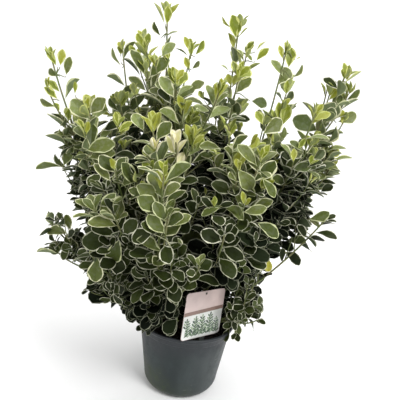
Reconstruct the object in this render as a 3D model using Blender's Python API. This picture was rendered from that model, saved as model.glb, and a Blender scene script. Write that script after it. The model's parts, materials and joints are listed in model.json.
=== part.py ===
# Potted euonymus: a bushy variegated shrub in a round nursery pot, with its care card.
# Metres, +Z up. The origin is the centre of the pot's flat underside, and -Y is the front.

import math
import random

import bmesh
import bpy
from mathutils import Matrix, Quaternion, Vector
from mathutils.bvhtree import BVHTree

# Touching pieces keep this gap, and leaves keep this clear of stems, pot and card.
GAP = 0.0003
CLEARANCE = 0.0012
MERGE_DISTANCE = 0.000002

# Pot: a five litre nursery container.
POT_HEIGHT = 0.165
RIM_RADIUS = 0.1125
FOOT_RADIUS = 0.0825
FOOT_ROUND = 0.012
FOOT_ROUND_STEPS = 3
POT_WALL = 0.0022
POT_FLOOR = 0.0035
BAND_HEIGHT = 0.022
BAND_STEP = 0.0018
LIP_HEIGHT = 0.006
LIP_STEP = 0.0028
POT_SIDES = 32
POT_COLOUR = (0.075, 0.095, 0.09)

# Compost
SOIL_LEVEL = 0.140
SOIL_DIP = 0.006
SOIL_ROUGHNESS = 0.0022
SOIL_FLAT_RADIUS = 0.032
SOIL_RINGS = 5
SOIL_WAVES = ((5, 40), (9, -70))
SOIL_RAMP = 3
SOIL_COLOUR = (0.028, 0.019, 0.013)

# Short stem that the boughs spring from
STOOL_HEIGHT = 0.014
STOOL_RADIUS = 0.026
STOOL_SIDES = 14
STOOL_FOOT_SHARE = 0.92
STOOL_WAIST_SHARE = 0.96
STOOL_WAIST_HEIGHT = 0.4
DOME_STEPS = 5
STOOL_COLOUR = (0.12, 0.085, 0.055)

# Care card on its stake
CARD_WIDTH = 0.101
CARD_HEIGHT = 0.1055
CARD_THICKNESS = 0.0006
CARD_CORNER = 0.007
CARD_CENTRE = Vector((0.0355, -0.0885, 0.2178))
CARD_TURN = math.radians(37.0)
CARD_SPIN = math.radians(2.0)
CARD_HOLE_RADIUS = 0.0024
CARD_HOLE_DROP = 0.006
CARD_HOLE_SIDES = 10
CARD_COLOUR = (0.62, 0.50, 0.47)
STAKE_WIDTH = 0.012
STAKE_THICKNESS = 0.0016
STAKE_SHIFT = 0.006
STAKE_TOP = 0.030
STAKE_POINT = 0.095
STAKE_COLOUR = (0.05, 0.055, 0.05)

# Leaves stay out of the view of the card: its direction, its depth, and its limits as shares.
CARD_VIEW = Vector((-0.25, -0.93, 0.28))
CARD_VIEW_DEPTH = 0.16
CARD_VIEW_ACROSS = (-0.05, 1.05)
CARD_VIEW_UP = (-0.25, 1.02)
CARD_VIEW_OUT = (-0.15, 1.0)

# Boughs and twigs
SEED = 41
FOOT = Vector((0.0, 0.0, 0.170))
BOUGH_SIDES = 5
BOUGH_STEPS = 5
BOUGH_FOOT_RADIUS = 0.0037
BOUGH_TIP_RADIUS = 0.0025
BOUGH_COLOUR = (0.14, 0.12, 0.07)
STEM_RADIUS = 0.0023
STEM_TIP_RADIUS = 0.0013
STEM_STEPS = 4
ENTRY_SHARE = 0.27
TWIG_RADIUS = 0.0017
TWIG_TIP_RADIUS = 0.0011
TWIG_STEPS = 2
TWIG_SIDES = 3

# Where boughs leave the short stem: a lean that grows with the leader's own, spread apart in rounds.
START_LEAN = math.radians(88.0)
START_LEAN_AT = 76.0
START_LEAN_POWER = 0.62
START_SPACING = math.radians(17.0)
START_ROUNDS = 200
START_LOWEST = 0.04

# A leader's curve: how far its two ends turn, and the lengths of its handles as shares.
LEAVE_TURN = 0.25
ARRIVE_TURN = 0.55
LEAVE_HANDLE = 0.30
ARRIVE_HANDLE = 0.34

# A mass's space is measured from points along its leader.
SPACE_START = 0.30
SPACE_STEP = 0.05
SPACE_POINTS = 15
SPACE_OVERHANG = 0.012
MOST_UNIONS = 8

# Side shoots: where they spring along the leader, their angles in degrees and their lengths as shares.
SHOOT_FIRST = 0.12
SHOOT_RANGE = 0.56
SHOOT_ATTEMPTS = 10
SHOOT_ATTEMPT_TURN = 0.37
SHOOT_ANGLES = (38, 54)
SHOOT_LENGTHS = (0.42, 0.56)
SHOOT_TAPER = 0.45
SHOOT_SHRINK = 0.05
SHOOT_SINK = 0.3
SHOOT_RISE = 0.16

# Leaves: larger than life, because there are fewer than on the shrub.
LEAF_LENGTH = 0.070
LEAF_WIDTH_RATIO = 0.68
LEAF_THICKNESS_RATIO = 0.04
LEAF_SINK = 0.0008
LEAF_NECK = 0.2
LEAF_MIDDLE = 0.54
LEAF_WIDEST = 0.58
LEAF_FOLD = 0.06
LEAF_DROOP = 0.4
LEAF_SIZES = (1.0, 0.8, 0.62)
POT_CLEARANCE = 0.004

# Leaf pairs: spacing and shares along a shoot, angles from it in degrees, and how each leaf varies.
PAIR_SPACING = 0.066
STEM_LEAVES_FROM = 0.10
TWIG_LEAVES_FROM = 0.42
TUFT_SHARE = 0.985
TUFT_SPREAD = 38
TUFT_SIZE = 0.82
PAIR_SPREADS = (52, 72)
PAIR_SIZES = (0.85, 1.12)
PAIR_TURN = 0.3
BLADE_TURN = 0.45
BLADE_DROOPS = (0.02, 0.16)
BLADE_SIZES = (0.92, 1.08)
GOLDEN_ANGLE = math.radians(137.5)

# Leaves are lighter on the leaders that reach further into the light.
LEAF_COLOUR = (0.10, 0.20)
LEAF_BLUE = 0.05
SHADE_START = 0.75
SHADE_GAIN = 0.5

# Foliage masses: the leader's bearing from +X towards +Y and its lean from upright, in degrees,
# its reach from the foot in metres, how upright its tip is, and its number of side shoots.
MASSES = (
    ("top_left", 153, 11, 0.685, 0.9, 3),
    ("top_right", 45, 5, 0.665, 1.0, 3),
    ("upper_left", 155, 22, 0.640, 0.8, 3),
    ("upper_middle", -146, 9, 0.580, 0.9, 3),
    ("upper_right", 0, 13, 0.630, 1.0, 3),
    ("far_right_high", 0, 25, 0.640, 0.9, 3),
    ("far_left_high", 180, 32, 0.650, 0.8, 3),
    ("left_shoulder", -159, 29, 0.520, 0.7, 3),
    ("right_shoulder", -24, 24, 0.543, 0.8, 3),
    ("front_tall", -106, 24, 0.478, 0.9, 3),
    ("front_right", -69, 26, 0.480, 0.8, 3),
    ("right_side", 6, 35, 0.500, 0.6, 3),
    ("front_left", -127, 35, 0.438, 0.7, 3),
    ("left_side", 178, 43, 0.445, 0.6, 2),
    ("left_low", -171, 58, 0.375, 0.4, 2),
    ("right_low", -8, 45, 0.390, 0.5, 2),
    ("right_foot", -26, 66, 0.185, 0.3, 2),
    ("front_low", -104, 49, 0.333, 0.5, 2),
    ("left_foot", -172, 76, 0.225, 0.1, 2),
    ("front_left_low", -134, 55, 0.320, 0.3, 2),
    ("back_high", 84, 18, 0.600, 0.9, 3),
    ("back_right_high", 42, 24, 0.620, 0.8, 3),
    ("back_left_high", 132, 31, 0.573, 0.8, 3),
    ("back_middle", 90, 38, 0.492, 0.6, 2),
    ("back_right", 45, 45, 0.439, 0.5, 2),
    ("back_left", 140, 54, 0.388, 0.3, 2),
    ("back_low", 96, 64, 0.275, 0.3, 2),
)


def clear_scene():
    for old in list(bpy.data.objects):
        bpy.data.objects.remove(old, do_unlink=True)


def make_material(name, colour, roughness, metallic=0.0):
    material = bpy.data.materials.new(name)
    material.use_nodes = True
    shader = material.node_tree.nodes["Principled BSDF"]
    shader.inputs["Base Color"].default_value = (*colour, 1.0)
    shader.inputs["Roughness"].default_value = roughness
    shader.inputs["Metallic"].default_value = metallic
    material.diffuse_color = (*colour, 1.0)
    return material


def add_object(name, vertices, faces, material=None, collection=None):
    mesh = bpy.data.meshes.new(name)
    mesh.from_pydata([tuple(v) for v in vertices], [], faces)
    mesh.update()
    obj = bpy.data.objects.new(name, mesh)
    if material:
        mesh.materials.append(material)
    (collection or bpy.context.scene.collection).objects.link(obj)
    return obj


def turned_object(name, profile, sides, material):
    # A profile of (radius, height) points, on the axis at both ends, spun round Z.
    shape = bmesh.new()
    points = [shape.verts.new((radius, 0.0, height)) for radius, height in profile]
    edges = [shape.edges.new(pair) for pair in zip(points, points[1:])]
    bmesh.ops.spin(shape, geom=points + edges, cent=(0, 0, 0), axis=(0, 0, 1),
                   angle=math.tau, steps=sides, use_merge=True)
    bmesh.ops.remove_doubles(shape, verts=shape.verts, dist=MERGE_DISTANCE)
    bmesh.ops.recalc_face_normals(shape, faces=shape.faces)
    mesh = bpy.data.meshes.new(name)
    shape.to_mesh(mesh)
    shape.free()
    mesh.materials.append(material)
    obj = bpy.data.objects.new(name, mesh)
    bpy.context.scene.collection.objects.link(obj)
    return obj


def shade_round(obj, angle=40.0):
    obj.data.shade_smooth()
    obj.data.set_sharp_from_angle(angle=math.radians(angle))


def wall_radius(height):
    # The pot's outer radius under its band.
    return FOOT_RADIUS + (RIM_RADIUS - LIP_STEP - BAND_STEP - FOOT_RADIUS) * height / POT_HEIGHT


def make_pot():
    profile = [(0.0, 0.0), (FOOT_RADIUS - FOOT_ROUND, 0.0)]
    for step in range(1, FOOT_ROUND_STEPS + 1):
        turn = math.pi / 2 * step / FOOT_ROUND_STEPS
        centre = wall_radius(FOOT_ROUND) - FOOT_ROUND
        profile.append((centre + FOOT_ROUND * math.sin(turn), FOOT_ROUND * (1 - math.cos(turn))))
    band_foot = POT_HEIGHT - BAND_HEIGHT
    lip_foot = POT_HEIGHT - LIP_HEIGHT
    profile.append((wall_radius(band_foot), band_foot))
    profile.append((wall_radius(band_foot) + BAND_STEP, band_foot + BAND_STEP))
    profile.append((RIM_RADIUS - LIP_STEP, lip_foot - LIP_STEP))
    profile.append((RIM_RADIUS, lip_foot))
    profile.append((RIM_RADIUS, POT_HEIGHT - POT_WALL / 2))
    profile.append((RIM_RADIUS - POT_WALL / 2, POT_HEIGHT))
    profile.append((RIM_RADIUS - LIP_STEP - POT_WALL, POT_HEIGHT))
    profile.append((wall_radius(band_foot) - POT_WALL, band_foot))
    profile.append((wall_radius(POT_FLOOR) - FOOT_ROUND / 2, POT_FLOOR))
    profile.append((0.0, POT_FLOOR))
    plastic = make_material("pot_plastic", POT_COLOUR, 0.45)
    pot = turned_object("pot", profile, POT_SIDES, plastic)
    shade_round(pot)
    return pot


def soil_height(radius, bearing, reach):
    # Flat round the stool, then gently lumpy and lower towards the pot's wall.
    if radius < SOIL_FLAT_RADIUS:
        return SOIL_LEVEL
    out = (radius - SOIL_FLAT_RADIUS) / (reach - SOIL_FLAT_RADIUS)
    lumps = sum(math.sin(around * bearing + across * radius) for around, across in SOIL_WAVES)
    return SOIL_LEVEL - SOIL_DIP * out + SOIL_ROUGHNESS / 2 * lumps * min(1.0, SOIL_RAMP * out)


def make_compost():
    # The sides run parallel to the inside of the pot's wall.
    band_foot = POT_HEIGHT - BAND_HEIGHT
    low_radius = wall_radius(POT_FLOOR) - FOOT_ROUND / 2
    high_radius = wall_radius(band_foot) - POT_WALL
    slope = (high_radius - low_radius) / (band_foot - POT_FLOOR)
    foot = POT_FLOOR + GAP
    top = SOIL_LEVEL - SOIL_DIP
    side_gap = GAP * 1.5
    foot_radius = low_radius + slope * (foot - POT_FLOOR) - side_gap
    top_radius = low_radius + slope * (top - POT_FLOOR) - side_gap
    profile = [(0.0, foot), (foot_radius, foot), (top_radius, top)]
    for ring in range(1, SOIL_RINGS + 1):
        radius = top_radius + (SOIL_FLAT_RADIUS - top_radius) * ring / SOIL_RINGS
        profile.append((radius, top + (SOIL_LEVEL - top) * ring / SOIL_RINGS))
    profile.append((0.0, SOIL_LEVEL))
    material = make_material("compost", SOIL_COLOUR, 0.95)
    compost = turned_object("compost", profile, POT_SIDES, material)
    for vertex in compost.data.vertices:
        radius = math.hypot(vertex.co.x, vertex.co.y)
        if vertex.co.z > top + MERGE_DISTANCE:
            bearing = math.atan2(vertex.co.y, vertex.co.x)
            vertex.co.z = soil_height(radius, bearing, top_radius)
    return compost


def make_stool():
    # A short woody stem on the compost, domed where the boughs spring from it.
    foot = SOIL_LEVEL + GAP
    profile = [(0.0, foot), (STOOL_RADIUS * STOOL_FOOT_SHARE, foot)]
    profile.append((STOOL_RADIUS * STOOL_WAIST_SHARE, foot + STOOL_HEIGHT * STOOL_WAIST_HEIGHT))
    shoulder = foot + STOOL_HEIGHT
    for step in range(DOME_STEPS):
        turn = math.pi / 2 * step / DOME_STEPS
        profile.append((STOOL_RADIUS * math.cos(turn), shoulder + STOOL_RADIUS * math.sin(turn)))
    profile.append((0.0, shoulder + STOOL_RADIUS))
    bark = make_material("old_bark", STOOL_COLOUR, 0.9)
    stool = turned_object("crown_stem", profile, STOOL_SIDES, bark)
    shade_round(stool)
    return stool


def card_frame():
    # Right, up and outward directions of the card's face, and its centre.
    turn = Matrix.Rotation(CARD_TURN, 3, "Z")
    right = turn @ Vector((1, 0, 0))
    outward = turn @ Vector((0, -1, 0))
    spin = Matrix.Rotation(-CARD_SPIN, 3, outward)
    return spin @ right, spin @ Vector((0, 0, 1)), outward


def slab(name, outline, thickness, offset, material):
    # A flat piece in the card's own plane, from a flat outline of (across, up) points.
    right, up, outward = card_frame()
    count = len(outline)
    front = [CARD_CENTRE + right * x + up * y + outward * offset for x, y in outline]
    back = [point - outward * thickness for point in front]
    faces = [tuple(range(count)), tuple(reversed(range(count, 2 * count)))]
    for index in range(count):
        after = (index + 1) % count
        faces.append((after, index, count + index, count + after))
    obj = add_object(name, front + back, faces, material)
    fix_normals(obj)
    return obj


def fix_normals(obj):
    shape = bmesh.new()
    shape.from_mesh(obj.data)
    bmesh.ops.recalc_face_normals(shape, faces=shape.faces)
    shape.to_mesh(obj.data)
    shape.free()


def rounded_outline(width, height, corner, steps=4):
    outline = []
    for sign_x, sign_y, start in ((1, 1, 0), (-1, 1, 90), (-1, -1, 180), (1, -1, 270)):
        for step in range(steps + 1):
            turn = math.radians(start + 90 * step / steps)
            x = sign_x * (width / 2 - corner) + corner * math.cos(turn)
            y = sign_y * (height / 2 - corner) + corner * math.sin(turn)
            outline.append((x, y))
    return outline


def cut(obj, cutter):
    cutter.hide_render = True
    cutter.display_type = "WIRE"
    modifier = obj.modifiers.new("cut", "BOOLEAN")
    modifier.operation = "DIFFERENCE"
    modifier.solver = "EXACT"
    modifier.object = cutter
    apply_modifiers(obj)
    bpy.data.objects.remove(cutter, do_unlink=True)


def apply_modifiers(obj):
    bpy.context.view_layer.update()
    evaluated = obj.evaluated_get(bpy.context.evaluated_depsgraph_get())
    mesh = bpy.data.meshes.new_from_object(evaluated)
    obj.modifiers.clear()
    old = obj.data
    obj.data = mesh
    bpy.data.meshes.remove(old)
    mesh.name = obj.name


def make_card(compost):
    # The card stands on a pointed stake behind it, pushed into a slot in the compost.
    plastic = make_material("card_plastic", CARD_COLOUR, 0.35)
    outline = rounded_outline(CARD_WIDTH, CARD_HEIGHT, CARD_CORNER)
    card = slab("care_card", outline, CARD_THICKNESS, 0.0, plastic)
    hole_height = CARD_HEIGHT / 2 - CARD_HOLE_DROP
    turns = [math.tau * k / CARD_HOLE_SIDES for k in range(CARD_HOLE_SIDES)]
    hole = [(CARD_HOLE_RADIUS * math.cos(a), hole_height + CARD_HOLE_RADIUS * math.sin(a)) for a in turns]
    cut(card, slab("hole_cutter", hole, CARD_THICKNESS * 5, CARD_THICKNESS * 2, None))
    half = STAKE_WIDTH / 2
    stake_outline = stake_shape(half, 0.0)
    behind = -CARD_THICKNESS - GAP
    dark = make_material("stake_plastic", STAKE_COLOUR, 0.4)
    stake = slab("card_stake", stake_outline, STAKE_THICKNESS, behind, dark)
    slot_outline = stake_shape(half + GAP * 1.5, GAP * 2)
    cut(compost, slab("slot_cutter", slot_outline, STAKE_THICKNESS + 2 * GAP, behind + GAP, None))
    return card, stake


def stake_shape(half, longer):
    shoulder = -STAKE_POINT + STAKE_WIDTH - longer
    return [(STAKE_SHIFT - half, -STAKE_TOP), (STAKE_SHIFT - half, shoulder),
            (STAKE_SHIFT, -STAKE_POINT - longer), (STAKE_SHIFT + half, shoulder),
            (STAKE_SHIFT + half, -STAKE_TOP)]


def card_view_space():
    # The space in front of the card that leaves stay out of.
    right, up, outward = card_frame()
    corners = [CARD_CENTRE + right * x * CARD_WIDTH / 2 + up * y * CARD_HEIGHT / 2
               for x, y in ((-1, -1), (1, -1), (1, 1), (-1, 1))]
    return corners, CARD_VIEW.normalized()


def rotate_towards(direction, target, share):
    return (direction * (1 - share) + target * share).normalized()


def polar(bearing, lean):
    return Vector((math.sin(lean) * math.cos(bearing), math.sin(lean) * math.sin(bearing), math.cos(lean)))


def start_directions():
    # Where each bough springs from the stool's dome: near its own bearing, and none too close.
    directions = []
    for name, bearing, lean, reach, upright, shoots in MASSES:
        start_lean = START_LEAN * (lean / START_LEAN_AT) ** START_LEAN_POWER
        directions.append(polar(math.radians(bearing), start_lean))
    for turn in range(START_ROUNDS):
        for a in range(len(directions)):
            for b in range(a):
                angle = directions[a].angle(directions[b])
                if angle < START_SPACING:
                    push = (START_SPACING - angle) / 2
                    apart = (directions[a] - directions[b]).normalized()
                    directions[a] = (directions[a] + apart * push).normalized()
                    directions[b] = (directions[b] - apart * push).normalized()
        for direction in directions:
            direction.z = max(direction.z, START_LOWEST)
            direction.normalize()
    return directions


def bezier(points, t):
    s = 1 - t
    return (points[0] * s ** 3 + points[1] * 3 * s * s * t
            + points[2] * 3 * s * t * t + points[3] * t ** 3)


def leader_curve(mass, start_direction):
    name, bearing, lean, reach, upright, shoots = mass
    tip = FOOT + polar(math.radians(bearing), math.radians(lean)) * reach
    dome_centre = Vector((0, 0, SOIL_LEVEL + GAP + STOOL_HEIGHT))
    start = dome_centre + start_direction * (STOOL_RADIUS + GAP)
    length = (tip - start).length
    leave = rotate_towards(start_direction, (tip - start).normalized(), LEAVE_TURN)
    arrive = rotate_towards((tip - start).normalized(), Vector((0, 0, 1)), ARRIVE_TURN * upright)
    return [start, start + leave * length * LEAVE_HANDLE, tip - arrive * length * ARRIVE_HANDLE, tip]


def distance_to_leader(point, samples):
    return min((point - sample).length for sample in samples)


def in_space(vertices, own, leaders):
    # A mass's space is what lies nearer to its own leader than to any other, with a small overhang.
    for vertex in vertices:
        limit = distance_to_leader(vertex, leaders[own]) - SPACE_OVERHANG
        for other, samples in enumerate(leaders):
            if other != own and distance_to_leader(vertex, samples) < limit:
                return False
    return True


def tube(path, radii, sides):
    # Rings square to the path, with flat ends, as vertices and outward faces.
    vertices = []
    faces = []
    direction = (path[1] - path[0]).normalized()
    side = direction.orthogonal().normalized()
    for index, point in enumerate(path):
        before = path[max(index - 1, 0)]
        after = path[min(index + 1, len(path) - 1)]
        turned = (after - before).normalized()
        side = (direction.rotation_difference(turned) @ side).normalized()
        direction = turned
        for k in range(sides):
            around = Quaternion(direction, math.tau * k / sides) @ side
            vertices.append(point + around * radii[index])
    for ring in range(len(path) - 1):
        for k in range(sides):
            after = (k + 1) % sides
            low = ring * sides
            faces.append((low + k, low + after, low + sides + after, low + sides + k))
    faces.append(tuple(reversed(range(sides))))
    last = (len(path) - 1) * sides
    faces.append(tuple(range(last, last + sides)))
    return vertices, faces


def leaf(root, along, above, length, droop, start=-LEAF_SINK):
    # A folded lozenge of eight faces: root, right edge, tip, left edge, and midrib above and below.
    across = along.cross(above).normalized()
    above = across.cross(along).normalized()
    width = length * LEAF_WIDTH_RATIO
    half_thickness = length * LEAF_THICKNESS_RATIO / 2
    lift = droop * length * LEAF_DROOP
    middle = root + along * length * LEAF_MIDDLE + above * lift
    wing = root + along * length * LEAF_WIDEST + above * (length * LEAF_FOLD + lift)
    vertices = [
        root + along * start,
        wing + across * width / 2,
        root + along * length,
        wing - across * width / 2,
        middle + above * half_thickness,
        middle - above * half_thickness,
    ]
    faces = [(0, 1, 4), (1, 2, 4), (2, 3, 4), (3, 0, 4), (1, 0, 5), (2, 1, 5), (3, 2, 5), (0, 3, 5)]
    return vertices, faces


def shoot_path(start, direction, length, rise, steps):
    # A shoot that turns upwards along its length.
    path = [start.copy()]
    heading = direction.copy()
    for step in range(steps):
        heading = rotate_towards(heading, Vector((0, 0, 1)), rise)
        path.append(path[-1] + heading * length / steps)
    return path


def path_point(path, share):
    # Point and direction at a share of a path's length.
    lengths = [(b - a).length for a, b in zip(path, path[1:])]
    distance = share * sum(lengths)
    for index, length in enumerate(lengths):
        if distance <= length or index == len(lengths) - 1:
            a, b = path[index], path[index + 1]
            return a + (b - a) * min(1.0, distance / length), (b - a).normalized()
        distance -= length


def path_length(path):
    return sum((b - a).length for a, b in zip(path, path[1:]))


def leaf_pairs(path, first, turn, random_source):
    # Opposite pairs, each turned a right angle from the last, closing to a tuft at the tip.
    length = path_length(path)
    spaces = max(1, round(length * (1 - first) / PAIR_SPACING))
    shares = [first + (1 - first) * k / spaces for k in range(spaces)] + [TUFT_SHARE]
    placed = []
    for number, share in enumerate(shares):
        point, direction = path_point(path, share)
        side = direction.orthogonal().normalized()
        last = number == len(shares) - 1
        spread = math.radians(TUFT_SPREAD if last else random_source.uniform(*PAIR_SPREADS))
        size = LEAF_LENGTH * (TUFT_SIZE if last else random_source.uniform(*PAIR_SIZES))
        for half in range(2):
            around = turn + number * math.pi / 2 + half * math.pi
            around += random_source.uniform(-PAIR_TURN, PAIR_TURN)
            outward = Quaternion(direction, around) @ side
            along = (direction * math.cos(spread) + outward * math.sin(spread)).normalized()
            above = direction * math.sin(spread) - outward * math.cos(spread)
            above = Quaternion(along, random_source.uniform(-BLADE_TURN, BLADE_TURN)) @ above
            droop = random_source.uniform(*BLADE_DROOPS)
            placed.append((point, along, above, size * random_source.uniform(*BLADE_SIZES), droop))
    return placed


def tree_of(vertices, faces):
    triangles = []
    for face in faces:
        triangles += [(face[0], face[k], face[k + 1]) for k in range(1, len(face) - 1)]
    return BVHTree.FromPolygons(vertices, triangles, all_triangles=True)


def mesh_parts(obj, grow=0.0):
    # Vertices moved out along their normals by grow, and faces.
    vertices = [v.co + v.normal * grow for v in obj.data.vertices]
    return vertices, [tuple(p.vertices) for p in obj.data.polygons]


def grown(vertices, faces, margin):
    # A loose shape's vertices moved away from its middle line by a margin.
    shape = bmesh.new()
    corners = [shape.verts.new(v) for v in vertices]
    for face in faces:
        shape.faces.new([corners[k] for k in face])
    shape.normal_update()
    moved = [v.co + v.normal * margin for v in corners]
    shape.free()
    return moved, faces


class Surroundings:
    # What leaves and twigs keep clear of: stems, pot, compost, card and the view of the card.
    def __init__(self, solids):
        self.trees = [tree_of(*mesh_parts(obj, CLEARANCE)) for obj in solids]
        self.card_corners, self.card_view = card_view_space()

    def add(self, obj):
        self.trees.append(tree_of(*mesh_parts(obj, GAP)))

    def hides_card(self, point):
        # Whether a point lies in the oblique prism that runs from the card to the viewer.
        origin, right_end, up_end = self.card_corners[0], self.card_corners[1], self.card_corners[3]
        right = right_end - origin
        up = up_end - origin
        frame = Matrix((right, up, self.card_view * CARD_VIEW_DEPTH)).transposed()
        share = frame.inverted() @ (point - origin)
        limits = (CARD_VIEW_ACROSS, CARD_VIEW_UP, CARD_VIEW_OUT)
        return all(low < value < high for value, (low, high) in zip(share, limits))

    def in_pot(self, point):
        radius = math.hypot(point.x, point.y)
        return point.z < POT_HEIGHT + POT_CLEARANCE and radius < RIM_RADIUS + POT_CLEARANCE

    def blocks(self, vertices, faces):
        if any(self.in_pot(v) or self.hides_card(v) for v in vertices):
            return True
        shape = tree_of(vertices, faces)
        return any(tree.overlap(shape) for tree in self.trees)


def fuse(name, base, pieces, material, solver):
    # One Boolean union joins the base with every piece, and the pieces are then removed.
    collection = bpy.data.collections.new(name + "_pieces")
    bpy.context.scene.collection.children.link(collection)
    for number, (vertices, faces) in enumerate(pieces):
        add_object(f"{name}_piece_{number}", vertices, faces, None, collection)
    obj = add_object(name, *base, material)
    union = obj.modifiers.new("join", "BOOLEAN")
    union.operation = "UNION"
    union.operand_type = "COLLECTION"
    union.collection = collection
    union.solver = solver
    apply_modifiers(obj)
    for piece in list(collection.objects):
        bpy.data.objects.remove(piece, do_unlink=True)
    bpy.data.collections.remove(collection)
    obj.data.materials.clear()
    obj.data.materials.append(material)
    return obj


def keep_main_shell(obj):
    # Sealed hollows are filled and loose scraps dropped: only the largest shell stays.
    shape = bmesh.new()
    shape.from_mesh(obj.data)
    bmesh.ops.remove_doubles(shape, verts=shape.verts, dist=MERGE_DISTANCE)
    bmesh.ops.dissolve_degenerate(shape, edges=shape.edges, dist=MERGE_DISTANCE)
    bmesh.ops.triangulate(shape, faces=shape.faces)
    unseen = set(shape.faces)
    shells = []
    while unseen:
        waiting = [unseen.pop()]
        shell = []
        while waiting:
            face = waiting.pop()
            shell.append(face)
            for edge in face.edges:
                for neighbour in edge.link_faces:
                    if neighbour in unseen:
                        unseen.remove(neighbour)
                        waiting.append(neighbour)
        shells.append(shell)
    volumes = [sum(shell_volume(face) for face in shell) for shell in shells]
    main = volumes.index(max(volumes))
    for index, shell in enumerate(shells):
        if index != main:
            bmesh.ops.delete(shape, geom=shell, context="FACES")
    open_edges = [edge for edge in shape.edges if len(edge.link_faces) != 2]
    open_spots = [(edge.verts[0].co + edge.verts[1].co) / 2 for edge in open_edges]
    shape.to_mesh(obj.data)
    shape.free()
    return open_spots


def shell_volume(face):
    a, b, c = [vertex.co for vertex in face.verts]
    return a.dot(b.cross(c)) / 6


def join_mass(name, stem, twigs, leaves, material):
    # Where the union leaves an open spot, the other solver is tried, and then the leaf there goes.
    kept = list(leaves)
    for attempt in range(MOST_UNIONS):
        old = bpy.data.objects.get(name)
        if old:
            bpy.data.objects.remove(old, do_unlink=True)
        obj = fuse(name, stem, twigs + kept, material, "MANIFOLD" if attempt == 1 else "EXACT")
        open_spots = keep_main_shell(obj)
        if not open_spots:
            break
        if attempt > 0:
            spot = open_spots[0]
            kept.remove(min(kept, key=lambda shape: (shape[0][0] - spot).length))
    return obj


def lengthwise(path, first, last):
    steps = len(path) - 1
    return [first + (last - first) * k / steps for k in range(steps + 1)]


def leader_stem(curve):
    # The leader's upper part, which carries the mass. It meets its bough's tip a gap apart.
    path = [bezier(curve, ENTRY_SHARE + (1 - ENTRY_SHARE) * k / STEM_STEPS) for k in range(STEM_STEPS + 1)]
    path[0] = path[0] + (path[1] - path[0]).normalized() * 2 * GAP
    return path, tube(path, lengthwise(path, STEM_RADIUS, STEM_TIP_RADIUS), TWIG_SIDES)


def side_shoots(path, count, free, source):
    # Side shoots spring round the leader by the golden angle, where there is room for them.
    turn = source.uniform(0, math.tau)
    length = path_length(path)
    shoots = []
    for number in range(count):
        share = SHOOT_FIRST + SHOOT_RANGE * number / count
        point, direction = path_point(path, share)
        side = direction.orthogonal().normalized()
        for attempt in range(SHOOT_ATTEMPTS):
            around = turn + (number + attempt * SHOOT_ATTEMPT_TURN) * GOLDEN_ANGLE
            outward = Quaternion(direction, around) @ side
            angle = math.radians(source.uniform(*SHOOT_ANGLES))
            heading = direction * math.cos(angle) + outward * math.sin(angle)
            reach = length * source.uniform(*SHOOT_LENGTHS)
            reach *= (1 - SHOOT_TAPER * share) * (1 - SHOOT_SHRINK * attempt)
            root = point - outward * STEM_RADIUS * SHOOT_SINK
            twig = shoot_path(root, heading.normalized(), reach, SHOOT_RISE, TWIG_STEPS)
            shape = tube(twig, lengthwise(twig, TWIG_RADIUS, TWIG_TIP_RADIUS), TWIG_SIDES)
            if free(*shape):
                shoots.append((twig, shape))
                break
    return shoots


def grow_mass(index, mass, stems, leaders, surroundings, material):
    name, shoots = mass[0], mass[-1]
    source = random.Random(SEED * 1000 + index)
    path, stem = stems[index]
    others = [tree_of(*grown(*shape, CLEARANCE)) for route, shape in stems if shape is not stem]

    def free(vertices, faces):
        if not in_space(vertices, index, leaders) or surroundings.blocks(vertices, faces):
            return False
        shape = tree_of(vertices, faces)
        return not any(tree.overlap(shape) for tree in others)

    twigs = side_shoots(path, shoots, free, source)
    placed = leaf_pairs(path, STEM_LEAVES_FROM, source.uniform(0, math.tau), source)
    for twig, shape in twigs:
        placed += leaf_pairs(twig, TWIG_LEAVES_FROM, source.uniform(0, math.tau), source)
    leaves = []
    blades = []
    for point, along, above, size, droop in placed:
        for shrink in LEAF_SIZES:
            length = size * shrink
            shape = leaf(point, along, above, length, droop)
            blade = tree_of(*leaf(point, along, above, length, droop, length * LEAF_NECK))
            if free(*shape) and not any(blade.overlap(other) for other in blades):
                leaves.append(shape)
                blades.append(blade)
                break
    obj = join_mass(name, stem, [shape for twig, shape in twigs], leaves, material)
    surroundings.add(obj)
    return obj


def make_bough(name, curve, material):
    path = [bezier(curve, ENTRY_SHARE * k / BOUGH_STEPS) for k in range(BOUGH_STEPS + 1)]
    radii = lengthwise(path, BOUGH_FOOT_RADIUS, BOUGH_TIP_RADIUS)
    obj = add_object("bough_" + name, *tube(path, radii, BOUGH_SIDES), material)
    shade_round(obj)
    return obj


def main():
    clear_scene()
    pot = make_pot()
    compost = make_compost()
    stool = make_stool()
    card, stake = make_card(compost)
    bark = make_material("bough_bark", BOUGH_COLOUR, 0.8)
    directions = start_directions()
    curves = [leader_curve(mass, direction) for mass, direction in zip(MASSES, directions)]
    shares = [SPACE_START + SPACE_STEP * k for k in range(SPACE_POINTS)]
    leaders = [[bezier(curve, share) for share in shares] for curve in curves]
    boughs = [make_bough(mass[0], curve, bark) for mass, curve in zip(MASSES, curves)]
    stems = [leader_stem(curve) for curve in curves]
    surroundings = Surroundings([pot, compost, stool, card, stake] + boughs)
    for index, mass in enumerate(MASSES):
        shade = SHADE_START + SHADE_GAIN * mass[3]
        colour = (LEAF_COLOUR[0] * shade, LEAF_COLOUR[1] * shade, LEAF_BLUE)
        leaf_green = make_material("leaves_" + mass[0], colour, 0.55)
        grow_mass(index, mass, stems, leaders, surroundings, leaf_green)


main()
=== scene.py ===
import json
import math
import random

import bmesh
import bpy
from mathutils import Matrix, Quaternion, Vector, noise

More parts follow.
